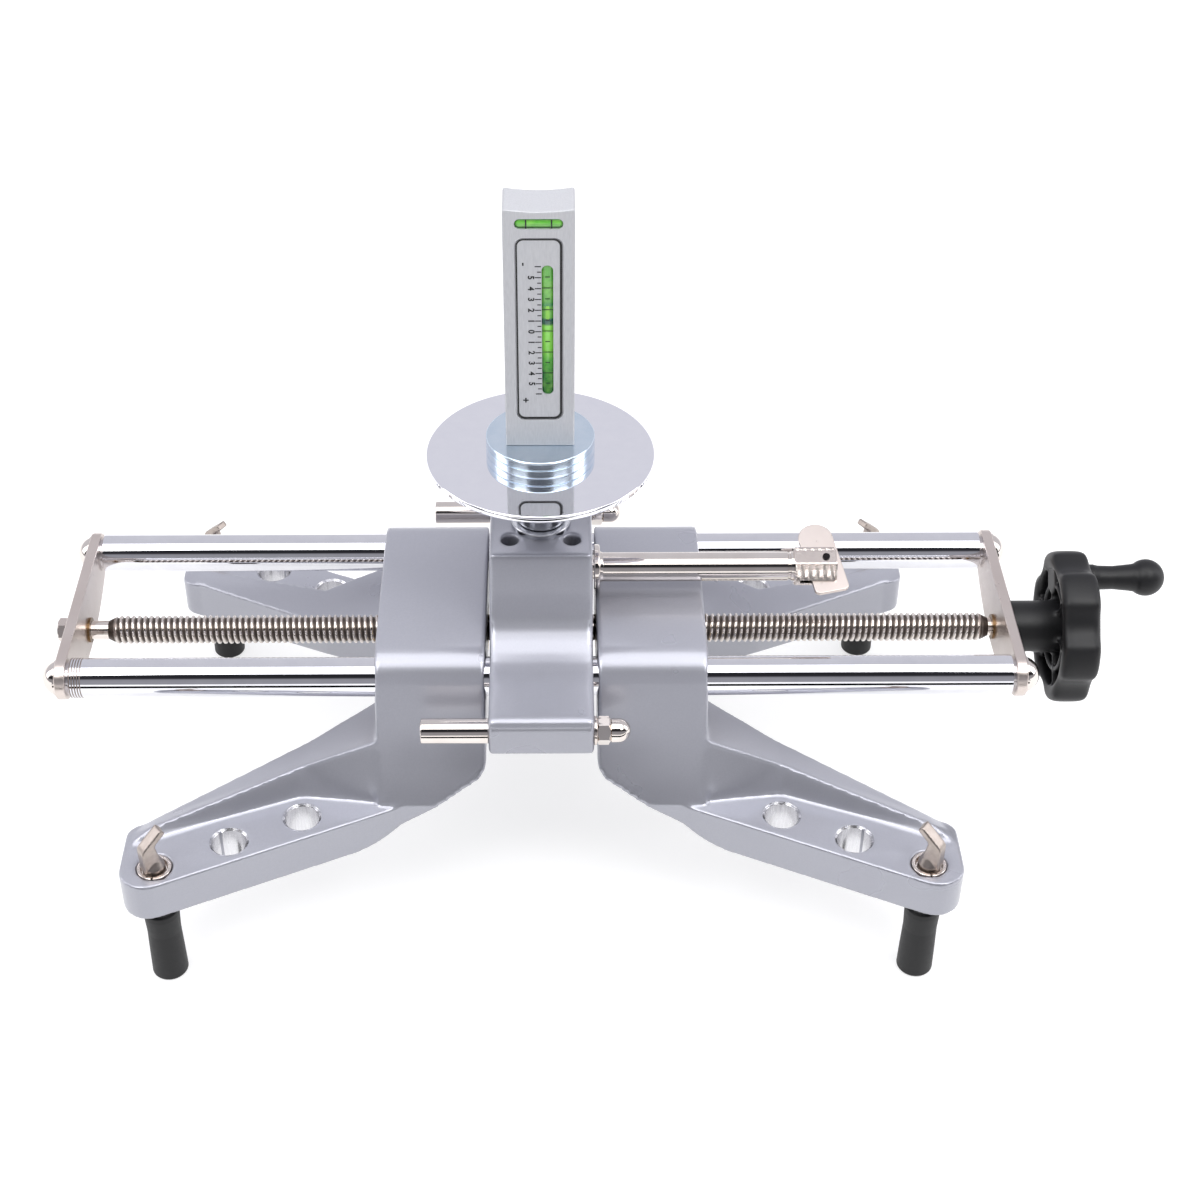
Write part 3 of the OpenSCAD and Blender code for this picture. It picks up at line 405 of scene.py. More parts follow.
face_x = plate_in + plate_t
ball = (dome_r**2 + dome_h**2) / (2 * dome_h)
arc = math.asin(dome_r / ball)
turns = [arc * k / dome_steps for k in range(dome_steps)]
profile = [(face_x + dome_h - ball + ball * math.cos(turn), ball * math.sin(turn), 0) for turn in turns]
profile += [(face_x + dome_foot, dome_r, 0), (face_x, dome_r - 0.2, 0), (face_x, 0, 0)]
domes = []
for side in (-1, 1):
    for y in (-rod_y, rod_y):
        domes.append(turned("X", (0, y, rods_z), [(side * x, r, edge) for x, r, edge in profile]))
add_piece("dome_screws", joined(domes), "frame", polished_nickel, "nickel_plate", "rod_end_screws")

# Rod end collar. The front rod's left end is threaded for 5 mm and left as
# rolled, so it is duller and browner than the chrome beside it.
collar_l = 5.4
collar_start = -plate_in + 0.9
crest_count = 5
collar_crest = rod_r + 0.12

# Steel as rolled: brown-grey and uneven, from half bright to dull
thread_brown = mottled(
    "rolled_thread_steel",
    tone=((1.6, 4.0), "#6E625E", "#B3A8A2"),
    gloss=((1.6, 4.0), 0.25, 0.5),
)

crests = [(collar_start, rod_r - 0.4, 0)]
for k in range(crest_count):
    x = -plate_in + 0.95 + k * collar_l / crest_count
    crests += [(x, rod_r - 0.25, 0), (x + 0.45, collar_crest, 0.1), (x + 0.75, collar_crest, 0.1)]
crests.append((collar_start + collar_l, rod_r - 0.4, 0))
collar = turned("X", (0, -rod_y, rods_z), crests, True)
add_piece("rod_end_thread", collar, "frame", thread_brown, "nickel_plate")

# Cross bolts. Two steel bolts clamp the bracket on the rods; each has a long
# round sleeve nut on the left and a washer with an acorn nut on the right.
bolt_y = 73.5
bolt_z = rods_z - 1.5
bolt_hole = 3.1
sleeve_r = 5.0
sleeve_l = 26.7
socket_r = 2.6
socket_h = 3
washer_r = 5.8
washer_t = 1.2
washer_edge = 0.25
acorn_af = 10.0
acorn_hex_h = 5.2
acorn_neck = 4.3
acorn_dome_h = 8.0
acorn_dome_r = 4.8


def hex_nut(axis, centre, af, low, high, bevel):
    """Hexagon nut whose corners are turned off at both faces, with centre (x, y, z) in mm."""
    steps = 72
    corner = af / 2 / math.cos(math.pi / 6)
    face_r = af / 2 * 0.96
    spots = []
    for along, limit in ((low, face_r), (low + bevel, corner), (high - bevel, corner), (high, face_r)):

        def radius(angle):
            return min(af / 2 / math.cos(angle % (math.pi / 3) - math.pi / 6), limit)

        spots += circle(axis, centre, along, radius, steps)
    ends = [tuple(range(steps)), tuple(range(3 * steps, 4 * steps))]
    return as_mesh("hexagon", spots, tube(4, steps) + ends)


end = -bracket_half - sleeve_l
sleeve_profile = [
    (-bracket_half, bolt_hole, 0),
    (-bracket_half, sleeve_r, 0.3),
    (end, sleeve_r, 0.5),
    (end, socket_r, 0.2),
    (end + socket_h, socket_r, 0),
    (end + socket_h, 0, 0),
]
start = bracket_half + washer_t
hex_end = start + acorn_hex_h
ball_x = hex_end + acorn_dome_h - acorn_dome_r
round_r = acorn_dome_r
turns = [math.radians(t) for t in range(0, 91, 9)]
acorn_profile = [(start + 1, acorn_neck, 0), (hex_end, acorn_neck, 0), (hex_end + 0.4, acorn_dome_r, 0)]
acorn_profile += [(ball_x + round_r * math.sin(turn), round_r * math.cos(turn), 0) for turn in turns]
washer_profile = [
    (bracket_half, bolt_hole, 0),
    (bracket_half, washer_r, washer_edge),
    (start, washer_r, washer_edge),
    (start, bolt_hole, 0),
]
acorns, washers = [], []
for side, name in ((-1, "front"), (1, "rear")):
    centre = (0, side * bolt_y, bolt_z)
    sleeve = turned("X", centre, sleeve_profile)
    add_piece(name + "_sleeve", sleeve, "frame", polished_nickel, "nickel_plate", name + "_sleeve_nut")
    dress(name + "_cross_bolt", bright_nickel)
    acorns.append(hex_nut("X", centre, acorn_af, start, hex_end, 0.6))
    acorns.append(turned("X", centre, acorn_profile))
    washers.append(turned("X", centre, washer_profile, True))
add_piece("acorn_nut_pair", joined(acorns), "frame", polished_nickel, "nickel_plate", "acorn_nuts")
add_piece("acorn_washer_pair", joined(washers), "frame", bright_nickel, "nickel_plate", "acorn_washers")

# Screw bushes and the bearing of the spindle. Flanged bronze bushes are pressed
# into the end plates; a turned steel ring lines the top of the tower.
screw_z = rods_z - 9.0
tower_top = rods_z + 46.0
bearing_r = 9
bearing_bore = 7.1
bearing_rim = tower_top + 2.6
bearing_seat = tower_top + 2.0
flange_r = 12.2

# Oiled bronze: brown-gold, half bright
oiled_bronze = mottled(
    "oiled_bronze",
    tone=((3, 4.0), "#5E4A34", "#94795A"),
    gloss=((3, 4.0), 0.2, 0.38),
)

# Turned steel: cool grey with marks a millimetre or so apart, half bright
turned_steel = mottled(
    "turned_steel",
    tone=((1.5, 3.0), "#B4B6BC", "#D6D7DB"),
    gloss=((1.5, 3.0), 0.14, 0.28),
)

dress("screw_bushes", oiled_bronze)
ring_profile = [
    (tower_top - 15, bearing_bore, 0),
    (tower_top - 15, bearing_r, 0),
    (tower_top, bearing_r, 0),
    (tower_top, flange_r, 0.2),
    (bearing_rim, flange_r, 0.7),
    (bearing_rim, 9.4, 0.2),
    (bearing_seat, 9.2, 0.1),
    (bearing_seat, bearing_bore, 0.2),
]
ring = turned("Z", (0, 0, 0), ring_profile, True)
add_piece("spindle_ring", ring, "frame", turned_steel, "machined_steel", "spindle_bearing")

# Carriages. Left and right castings like the bracket, each bored for both rods
# and carrying two arms. The blend between block and arm is broad; every other
# edge has the mould's radius of about 1.5 mm.
carriage_passes = 5
blend_passes = 50
blend_at = (73, 59, 73)
blend_r = 24.0
pad_top = 58.5
ridge_x, ridge_z, ridge_fall = 68, 84.5, 0.46


def in_blend(spots):
    """1 in the middle of the hollow between block and pad, 0 outside it and at its edges."""
    here = np.abs(spots) / mm
    away = np.linalg.norm(here - np.array(blend_at), axis=1)
    ridge = ridge_z - ridge_fall * (here[:, 0] - ridge_x)
    to_edge = np.minimum(here[:, 2] - pad_top - 2.5, ridge - 4 - here[:, 2])
    return np.clip(1.6 * (1 - away / blend_r), 0, 1) * np.clip(to_edge / 4, 0, 1)


for side in ("left", "right"):
    body = side + "_carriage"
    casting = moulded(body, casting_square, carriage_passes)
    soften(casting, blend_passes, in_blend)
    add_piece(side + "_casting", casting, body, casting_lacquer, "casting_paint", body)

# Hole walls. The two holes in each pad beside the claw's are drilled and reamed
# after spraying, so their walls and chamfers are bare metal; the outer one has
# two key slits.
first_hole = (97.2, 75.4)
hole_pitch = 31.2
hole_turn = math.radians(26.5)
hole_r = 7.0
hole_low = pad_top - 17.9
wall_t = 0.1
chamfer = 0.8
slit_w = 1.2
slit_reach = 12

# Reamed aluminium: bright, with the fine upright drag of the reamer at 0.8 mm
reamed_aluminium = mottled(
    "reamed_aluminium",
    tone=((0.8, 3.0, (1.0, 1.0, 0.1)), "#C9C8CC", "#EDEDEF"),
    gloss=((0.8, 3.0, (1.0, 1.0, 0.1)), 0.16, 0.34),
)


def carved(mesh, *cutters):
    """Mesh with the cutters taken out of it."""
    block = linked("block", mesh)
    tools = [linked("tool", cutter) for cutter in cutters]
    for tool in tools:
        cut = block.modifiers.new("cut", "BOOLEAN")
        cut.operation = "DIFFERENCE"
        cut.solver = "EXACT"
        cut.object = tool
    result = mesh_of(block)
    for tool in tools:
        bpy.data.objects.remove(tool)
    return smoothed(result)


wall_profile = [
    (hole_low, hole_r, 0),
    (pad_top - chamfer, hole_r, 0),
    (pad_top + 0.03, hole_r + chamfer, 0),
    (pad_top - 0.3, hole_r + chamfer + wall_t, 0),
    (pad_top - 2, hole_r + wall_t, 0),
    (hole_low, hole_r + wall_t, 0),
]
for side, way in (("left", -1), ("right", 1)):
    walls = []
    for end in (-1, 1):
        for run in (0, hole_pitch):
            x = way * (first_hole[0] + run * math.cos(hole_turn))
            y = end * (first_hole[1] + run * math.sin(hole_turn))
            wall = turned("Z", (x, y, 0), wall_profile, True, 64)
            if run:
                key = cut_plate("Z", rectangle(-slit_reach, slit_reach, -slit_w / 2, slit_w / 2), 30, 70)
                turn = Matrix.Rotation(-way * end * 2 * hole_turn, 4, "Z")
                key.transform(Matrix.Translation((x * mm, y * mm, 0)) @ turn)
                wall = carved(wall, key)
            walls.append(wall)
    add_piece(side + "_hole_walls", joined(walls), side + "_carriage", reamed_aluminium, "machined_steel")

# Screw nuts and rod bushes. Each carriage holds a turned brass nut for the screw
# and two plain bronze bushes on each rod.
nut_from, nut_shoulder, nut_to = 22.5, 67, 68.6
nut_r, nut_neck, nut_bore = 9, 6.8, 6.1

# Brass off the lathe: yellow, darker where it has been handled, half bright
turned_brass = mottled(
    "turned_brass",
    tone=((2, 3.0), "#97794A", "#CDB27C"),
    gloss=((2, 3.0), 0.15, 0.3),
)

nut_profile = [
    (nut_from, nut_bore, 0),
    (nut_from, nut_r, 0.3),
    (nut_shoulder, nut_r, 0.3),
    (nut_shoulder, nut_neck, 0),
    (nut_to, nut_neck, 0.4),
    (nut_to, nut_bore, 0.1),
]
for side, way in (("left", -1), ("right", 1)):
    nut = turned("X", (0, 0, screw_z), [(way * x, r, edge) for x, r, edge in nut_profile], True)
    add_piece(side + "_brass_nut", nut, side + "_carriage", turned_brass, "brass", side + "_screw_nut")
    dress(side + "_rod_bushes", oiled_bronze)

# Lead screw. One nickel-plated bar with a rolled thread of 2.5 mm lead, right-
# hand on its left half and left-hand on its right half, with plain journals in
# the bronze bushes and thinner ends for the nuts and the handwheel.
lead = 2.5
rows_per_lead = 9
thread_steps = 40
crest_r = 6.0
root_r = 5.0
thread_from, thread_to = -182.35, 188.05
journal_r = 3.9
end_r = 3
screw_from, screw_to = -203.5, 225.55
journal_end = 195.55

# Nickel over a rolled thread: the colour goes by the distance from the axis, bright on the crests
# and dark brown in the valleys, a painted shade in the thread's hollows; the valleys are duller too
rolled_thread = new_material("nickel_plated_thread")
place = add_node(rolled_thread, "TexCoord", {}, "Object")
axis_at = (0.0, 0.0, screw_z * mm)
from_axis = add_node(rolled_thread, "VectorMath", {0: place, 1: axis_at}, operation="SUBTRACT")
across = add_node(rolled_thread, "VectorMath", {0: from_axis, 1: (0.0, 1.0, 1.0)}, operation="MULTIPLY")
radius = add_node(rolled_thread, "VectorMath", {0: across}, "Value", operation="LENGTH")
span = {"Value": radius, "From Min": root_r * mm, "From Max": (crest_r - 0.15) * mm}
height = add_node(rolled_thread, "MapRange", span)
# Painted shade for the valleys: two dark browns, mottled by noise
valley_shade_mottle = add_node(rolled_thread, "TexNoise", {"Vector": place, "Scale": 1 / (3 * mm), "Detail": 3.0})
valley_shade_browns = {"Fac": valley_shade_mottle, "Color1": linear("#3A332F"), "Color2": linear("#6E645E")}
painted_valley_shade = add_node(rolled_thread, "MixRGB", valley_shade_browns)
tones = {"Fac": height, "Color1": painted_valley_shade, "Color2": linear("#DDD5CF")}
surface_of(
    rolled_thread,
    {
        "Base Color": add_node(rolled_thread, "MixRGB", tones),
        "Metallic": 1.0,
        "Roughness": add_node(rolled_thread, "MapRange", {"Value": height, "To Min": 0.5, "To Max": 0.14}),
    },
)


def thread_radius(x, angle):
    """Radius of the rolled thread, which runs out at both ends, in mm."""
    phase = (abs(x) / lead + angle / math.tau) % 1
    ridge = min(1.0, max(0.0, 1.35 * math.cos(math.tau * phase) * 0.5 + 0.58))
    run_out = journal_r + 0.5 * min(x - thread_from, thread_to - x)
    return min(root_r + (crest_r - root_r) * ridge, run_out)


spots = []
rows = int((thread_to - thread_from) / (lead / rows_per_lead))
for i in range(rows + 1):
    x = thread_from + (thread_to - thread_from) * i / rows
    spots += circle("X", (0, 0, screw_z), x, lambda angle: thread_radius(x, angle), thread_steps)
ends = [tuple(range(thread_steps)), tuple(range(rows * thread_steps, (rows + 1) * thread_steps))]
screw_thread = as_mesh("thread", spots, tube(rows + 1, thread_steps) + ends)
journal_profile = [
    (screw_from, 0, 0),
    (screw_from, end_r, 0.5),
    (-journal_end, end_r, 0),
    (-journal_end, journal_r, 0.3),
    (journal_end, journal_r, 0.3),
    (journal_end, end_r, 0),
    (screw_to, end_r, 0.5),
    (screw_to, 0, 0),
]
journals = turned("X", (0, 0, screw_z), journal_profile)
add_piece("threaded_screw", screw_thread, "screw", rolled_thread, "nickel_plate", "lead_screw")
add_piece("screw_journals", journals, "screw", polished_nickel, "nickel_plate", "lead_screw")

# End nuts. Two plated hexagon nuts are locked against each other on the screw's
# left end.
end_nut_af = 9.0
end_nut_h = 3.9
nuts = [
    hex_nut("X", (0, 0, screw_z), end_nut_af, start, start + end_nut_h, 0.5) for start in (-199.5, screw_from)
]
add_piece("lock_nuts", joined(nuts), "screw", bright_nickel, "nickel_plate", "screw_end_nuts")

# Handwheel. Moulded in glass-filled nylon with six lobes, a ribbed open back
# and a long hub; the crank knob is the same black nylon on a steel stud.
wheel_square = 0.6
wheel_passes = 9
lobe_foot = 24.5
lobe_passes = 110
crank_r = 20.5
crank_angle = math.radians(38)
knob_from = 230.35
knob_bore = 3.1
stem_r = 5.65
ball_x = 255.35
ball_r = 7.8

# Glass-filled nylon: black, half dull, with the fibres' grain drawn at 0.8 mm
moulded_nylon = mottled(
    "glass_filled_nylon",
    tone=((20, 2.0), "#0E0E10", "#161618"),
    gloss=((20, 2.0), 0.38, 0.5),
    dents=((0.8, 3.0), 0.12, 0.06),
    metallic=0.0,
    **{"Specular IOR Level": 0.4},
)


def near_rim(spots):
    """0 on the hub and ribs, 1 on the lobes."""
    reach = np.hypot(spots[:, 1], spots[:, 2] - screw_z * mm) / mm
    return np.clip((reach - lobe_foot) / 2, 0, 1)


wheel = moulded("handwheel", wheel_square, wheel_passes)
soften(wheel, lobe_passes, near_rim)
add_piece("nylon_handwheel", wheel, "screw", moulded_nylon, "black_plastic", "handwheel")
dress("handwheel_grub_screw", thread_brown)
dress("crank_stud", turned_steel)

crank_at = (0, crank_r * math.sin(crank_angle), screw_z + crank_r * math.cos(crank_angle))
turns = [math.radians(t) for t in range(-40, 91, 8)]
knob_profile = [
    (knob_from, knob_bore, 0),
    (knob_from, stem_r, 0.5),
    (233, stem_r, 1),
    (235, stem_r - 0.5, 3),
    (ball_x - 14, stem_r - 0.7, 8),
    (ball_x - 7, stem_r, 3),
]
knob_profile += [(ball_x + ball_r * math.sin(turn), ball_r * math.cos(turn), 0) for turn in turns]
knob_profile.append((ball_x + ball_r, 0, 0))
knob = turned("X", crank_at, knob_profile)
add_piece("nylon_knob", knob, "crank_knob", moulded_nylon, "black_plastic", "crank_knob")

# Claws. Each is a plated steel pin whose flattened top is bent into a hook for
# the rim's edge; it turns in a split steel bush, and a black rubber sleeve is
# pushed over its lower end.
claw_x, claw_y = 153.044, 103.243
hook_square = 0.4
hook_passes = 5
pin_bore = 4.55
bush_r = 6.9
bush_low = 39.3
split_half = 0.45
sleeve_top = 39.2
foot_r = 7.3
foot_bore = 4.6
foot_floor = 5

# Tumbled nickel on forged steel: brown-grey, rubbed bright in places
tumbled_nickel = mottled(
    "tumbled_nickel",
    tone=((3, 5.0), "#8E837C", "#C9BFB8"),
    gloss=((3, 5.0), 0.26, 0.44),
    dents=((3, 5.0), 0.35, 0.15),
)

# Natural rubber: black, matt, with the fine skin of dipping
black_rubber = mottled(
    "black_rubber",
    tone=((1.5, 4.0), "#0F0F10", "#18181A"),
    gloss=((1.5, 4.0), 0.42, 0.6),
    dents=((1.5, 4.0), 0.25, 0.1),
    metallic=0.0,
    **{"Specular IOR Level": 0.4},
)

bush_profile = [
    (bush_low, pin_bore, 0),
    (bush_low, bush_r, 0.3),
    (pad_top, bush_r, 0.4),
    (pad_top, 5.4, 0.3),
    (56.6, 5.1, 0.1),
    (56.6, pin_bore, 0.1),
]
foot_profile = [
    (0, 0, 0),
    (0, foot_r, 1.2),
    (12, foot_r - 0.2, 4),
    (24, foot_r - 0.5, 4),
    (33, foot_r - 0.1, 2),
    (35.5, foot_r - 0.2, 0.6),
    (36, foot_r - 1.0, 0.3),
    (37, foot_r - 1.0, 0.3),
    (37.4, foot_r - 0.2, 0.4),
    (sleeve_top, foot_r - 0.4, 0.4),
    (sleeve_top, foot_bore, 0.2),
    (foot_floor, foot_bore, 0),
    (foot_floor, 0, 0),
]
for name, x_side, y_side in (
    ("front_left", -1, -1),
    ("front_right", 1, -1),
    ("rear_left", -1, 1),
    ("rear_right", 1, 1),
):
    body = "claw_" + name
    centre = (x_side * claw_x, y_side * claw_y, 0)
    hook = moulded(body, hook_square, hook_passes)
    add_piece("hook_" + name, hook, body, tumbled_nickel, "nickel_plate", body)
    split = cut_plate("Z", rectangle(-split_half, split_half, -8, -4), 30, 70)
    split.transform(Matrix.Translation(Vector(centre) * mm))
    bush = carved(turned("Z", centre, bush_profile, True), split)
    add_piece("bush_" + name, bush, body, bright_nickel, "nickel_plate", "claw_bush_" + name)
    sleeve = turned("Z", centre, foot_profile)
    add_piece("rubber_sleeve_" + name, sleeve, body, black_rubber, "black_rubber", "rubber_foot_" + name)

# Spindle and mirror disc. A turned steel spindle carries a disc of stainless
# steel, polished to a mirror, for the magnet to hold on to.
disc_top = rods_z + 81.1
disc_t = 2.8
disc_r = 45.25
disc_low = disc_top - disc_t
disc_edge = 0.9
disc_bore = 2.6
spindle_foot = rods_z + 3
spindle_r = 7
lock_groove_r = 5.5
groove_low, groove_high = rods_z + 17.9, rods_z + 28.9
shoulder_r = 10
shoulder_z = tower_top + 2.9
hub_r = 17
hub_h = 4

# Mirror-polished stainless steel: faint swirls at 6 mm and a slight blue
mirror_steel = mottled(
    "mirror_polished_steel",
    tone=((6, 6.0), "#EFEFF5", "#F6F6FA"),
    gloss=((6, 6.0), 0.015, 0.05),
)

disc_profile = [
    (disc_low, disc_bore, 0),
    (disc_low, disc_r, disc_edge),
    (disc_top, disc_r, disc_edge),
    (disc_top, disc_r - 1.5, 0),
    (disc_top, 5.1, 0),
    (disc_top - 2.5, disc_bore, 0),
]
disc = turned("Z", (0, 0, 0), disc_profile, True, 160)
add_piece("polished_disc", disc, "spindle", mirror_steel, "polished_disc", "mirror_disc")
neck_profile = [
    (spindle_foot, 0, 0),
    (spindle_foot, spindle_r, 1.0),
    (groove_low, spindle_r, 0.3),
    (groove_low, lock_groove_r, 0.3),
    (groove_high, lock_groove_r, 0.3),
    (groove_high, spindle_r, 0.3),
    (shoulder_z, spindle_r, 0.2),
    (shoulder_z, shoulder_r, 0.6),
    (disc_low - hub_h, shoulder_r, 1.2),
    (disc_low - hub_h, hub_r, 0.6),
    (disc_low, hub_r, 0.4),
    (disc_low, 0, 0),
]
neck = turned("Z", (0, 0, 0), neck_profile)
add_piece("turned_spindle", neck, "spindle", turned_steel, "machined_steel", "spindle")
dress("disc_screw", turned_steel)

# Magnet cup. A turned steel pot with blue-white zinc plating; it holds a ring
# magnet and is screwed to the foot of the gauge body.
gauge_y = 1.9
cup_low = disc_top + 0.05
body_low = cup_low + 7.1
cup_r = 21.5
cup_wall_r = 18.6
cup_floor = cup_low + 4
cup_bore = 2.6
ring_r = 21.1

# Blue zinc plate: cold blue-white, bright, clouded, with faint dents at 2.5 mm
blue_zinc = mottled(
    "blue_zinc_plate",
    tone=((7, 4.0), "#CBDCEB", "#E4EEF7"),
    gloss=((7, 4.0), 0.16, 0.28),
    dents=((2.5, 4.0), 0.3, 0.06),
)

cup_profile = [
    (cup_low, cup_wall_r, 0),
    (cup_low, cup_r, 0.4),
    (cup_low + 3.3, cup_r, 0.2),
    (cup_low + 3.4, ring_r, 0),
    (cup_low + 3.7, ring_r, 0),
    (cup_low + 3.8, cup_r, 0.2),
    (body_low, cup_r, 0.9),
    (body_low, cup_bore, 0),
    (cup_floor, cup_bore, 0),
    (cup_floor, cup_wall_r, 0),
]
cup = turned("Z", (0, gauge_y, 0), cup_profile, True, 128)
add_piece("zinc_cup", cup, "gauge", blue_zinc, "zinc_plate", "magnet_cup")

# Sintered ferrite: dark grey, dull
ferrite = mottled("sintered_ferrite", tone=((0.8, 3.0), "#2E2E31", "#4A4A4E"), gloss=0.6, metallic=0.0)
dress("ring_magnet", ferrite)
dress("cup_screw", turned_steel)

# Gauge body. A block of extruded aluminium, blasted and clear anodised, dished
# across its top. Its face is milled out for the scale plate and the two vials.
body_w = 26.7
body_d = 17.8
body_h = 102.4
body_edge = 0.5
dish = 1.2
dish_steps = 12
front = gauge_y - body_d / 2
body_high = body_low + body_h
plate_w = 17.3
plate_low = body_low + 12.4
plate_high = plate_low + 78.0
plate_h = plate_high - plate_low
plate_gap = 0.7
plate_back = front + 0.8
slot_x = 3.1
slot_w = 4.3
slot_h = 56.0
slot_mid = (plate_low + plate_high) / 2
level_z = body_high - 6.0
level_w = 17.6
level_r = 1.9
level_gap = 0.3


def window(x, z, width, height, radius, low, high):
    """Block with rounded corners seen from the front, between two depths."""
    a, b = width / 2, height / 2
    corners = [(u, v, radius) for u, v in rectangle(x - a, x + a, z - b, z + b)]
    return cut_plate("Y", eased(corners, 6), low, high)


# Blasted and anodised aluminium: soft satin, grit of 0.5 mm drawn so that it
# shows, a slight vertical drag of extrusion
satin_aluminium = mottled(
    "satin_anodised_aluminium",
    tone=((0.5, 3.0, (1.0, 1.0, 0.15)), "#B6B7BB", "#D0D1D4"),
    gloss=((0.5, 3.0, (1.0, 1.0, 0.15)), 0.36, 0.5),
    dents=((0.5, 3.0, (1.0, 1.0, 0.15)), 0.08, 0.05),
    metallic=0.35,
)

half_w = body_w / 2
dish_r = (half_w**2 + dish**2) / (2 * dish)
top_line = []
for k in range(1, 2 * dish_steps):
    x = half_w * (1 - k / dish_steps)
    top_line.append((x, body_high - dish + dish_r - math.sqrt(dish_r**2 - x**2)))
corner = [(0, -1.3), (-0.15, -0.65), (-0.6, -0.25)]
right_corner = [(half_w + x, body_high + z) for x, z in corner]
left_corner = [(-half_w - x, body_high + z) for x, z in reversed(corner)]
outline = [(-half_w, body_low), (half_w, body_low)] + right_corner + top_line + left_corner
body_block = carved(
    cut_plate("Y", outline, front, front + body_d, body_edge),
    window(0, slot_mid, plate_w + plate_gap, plate_h + plate_gap, 3.3, front - 1, plate_back),
    window(slot_x, slot_mid, 7.7, slot_h + 6, 1.0, front - 1, front + 8.5),
    window(0, level_z, level_w + level_gap, 2 * level_r + level_gap, level_r, front - 1, front + 4.2),
)
add_piece("aluminium_body", body_block, "gauge", satin_aluminium, "satin_aluminium", "gauge_body")

# Scale plate. A satin aluminium plate let into the body, printed in black with a
# border, the degree marks and their numbers, and slotted over the camber vial.
plate_face = front + 0.2
ink_t = 0.04
border_w = 0.8
mark_w = 0.42
mark_end = 0.75
number_x = -3.1
sign_x = -5.6
zero_z = rods_z + 139.6
degree = 4.6
slotted = carved(
    window(0, slot_mid, plate_w, plate_h, 3.0, plate_face, plate_back),
    window(slot_x, slot_mid, slot_w, slot_h, 2.1, front - 1, front + 2),
)
add_piece("scale_sheet", slotted, "gauge", satin_aluminium, "satin_aluminium", "scale_plate")

# Screen-printing ink: flat black
black_ink = mottled("black_ink", tone=((0.6, 2.0), "#070708", "#161618"), gloss=0.5, metallic=0.0)


def bar(x0, x1, z, thick, face):
    """A printed line, in mm, with its middle at height z."""
    return cut_plate("Y", rectangle(x0, x1, z - thick / 2, z + thick / 2), face - ink_t, face)


def printed(text, x, z, size, face):
    """A number or sign printed on its side, its top towards the vial."""
    letters = bpy.data.curves.new("print", "FONT")
    letters.body = text
    letters.size = size * mm
    letters.extrude = ink_t * mm / 2
    letters.offset = 0.11 * mm
    letters.align_x = "CENTER"
    letters.align_y = "CENTER"
    mesh = mesh_of(linked("print", letters))
    upright = Matrix.Rotation(math.radians(90), 4, "X") @ Matrix.Rotation(math.radians(-90), 4, "Z")
    mesh.transform(Matrix.Translation(Vector((x, face - ink_t / 2, z)) * mm) @ upright)
    return mesh


border_out = window(0, slot_mid, plate_w - 0.1, plate_h - 0.1, 2.95, plate_face - ink_t, plate_face)
inside_w, inside_h = plate_w - 2 * border_w, plate_h - 2 * border_w
# The inner edge is set 0.15 mm left and up, so the black border is wider on the right and at the bottom: a
# painted shadow of the groove round the plate
border_in_painted_shadow = window(-0.15, slot_mid + 0.15, inside_w, inside_h, 2.4, plate_face - 1, plate_face + 1)
marks = [carved(border_out, border_in_painted_shadow)]
for step in range(-12, 13):
    z = zero_z - step * degree / 2
    long_mark = step % 2 == 0
    marks.append(bar(-1.6 if long_mark else -0.7, mark_end, z, mark_w, plate_face))
    if long_mark and abs(step) <= 10:
        marks.append(printed(str(abs(step) // 2), number_x, z, 3.2, plate_face))
marks.append(printed("-", sign_x, zero_z + 28.6, 4.0, plate_face))
marks.append(printed("+", sign_x, zero_z - 30.4, 4.0, plate_face))
add_piece("scale_print", joined(marks), "gauge", black_ink, "black_plastic")

# Vials. Two clear acrylic tubes of green spirit, each with an air bubble and
# black rings: the upright one is read for camber, the cross one for level.
camber_r = 3.8
camber_y = plate_back + camber_r + 0.02
level_y = front + level_r + 0.05
tube_over = 2.9
tube_low, tube_high = slot_mid - slot_h / 2 - tube_over, slot_mid + slot_h / 2 + tube_over
ring_w = 0.3
long_ring, short_ring = 2.1, 0.9
level_ring_x = 4.7
level_ring_half = 0.25
level_ring_h = 1.8


def ramp(material, share, stops):
    """Colour ramp through (position, hex) stops, the first and last of them its own two."""
    out = add_node(material, "ValToRGB", {"Fac": share})
    bands = out.node.color_ramp.elements
    for band, (position, colour) in ((bands[0], stops[0]), (bands[1], stops[-1])):
        band.position, band.color = position, linear(colour)
    for position, colour in stops[1:-1]:
        bands.new(position).color = linear(colour)
    return out


# Green spirit behind clear acrylic: saturated and wet. Its colour goes by height with painted shade: deep
# green at the foot of the upright vial and dark teal bands where the ends of its bubble turn the light away
green_spirit = new_material("green_spirit_vial")
place = add_node(green_spirit, "TexCoord", {}, "Object")
upward = add_node(green_spirit, "SeparateXYZ", {0: place}, "Z")
span = {"Value": upward, "From Min": tube_low * mm, "From Max": tube_high * mm}
spirit = ramp(
    green_spirit,
    add_node(green_spirit, "MapRange", span),
    [
        (0.08, "#1C5F2E"),
        (0.2, "#2C7C3C"),
        (0.29, "#57A944"),
        (0.36, "#7FD04C"),
        (0.53, "#86D850"),
        (0.545, "#0D4A46"),
        (0.575, "#10584A"),
        (0.59, "#68B848"),
        (0.655, "#62B046"),
        (0.675, "#2D8749"),
        (0.7, "#58A846"),
        (1.0, "#5FB53C"),
    ],
)
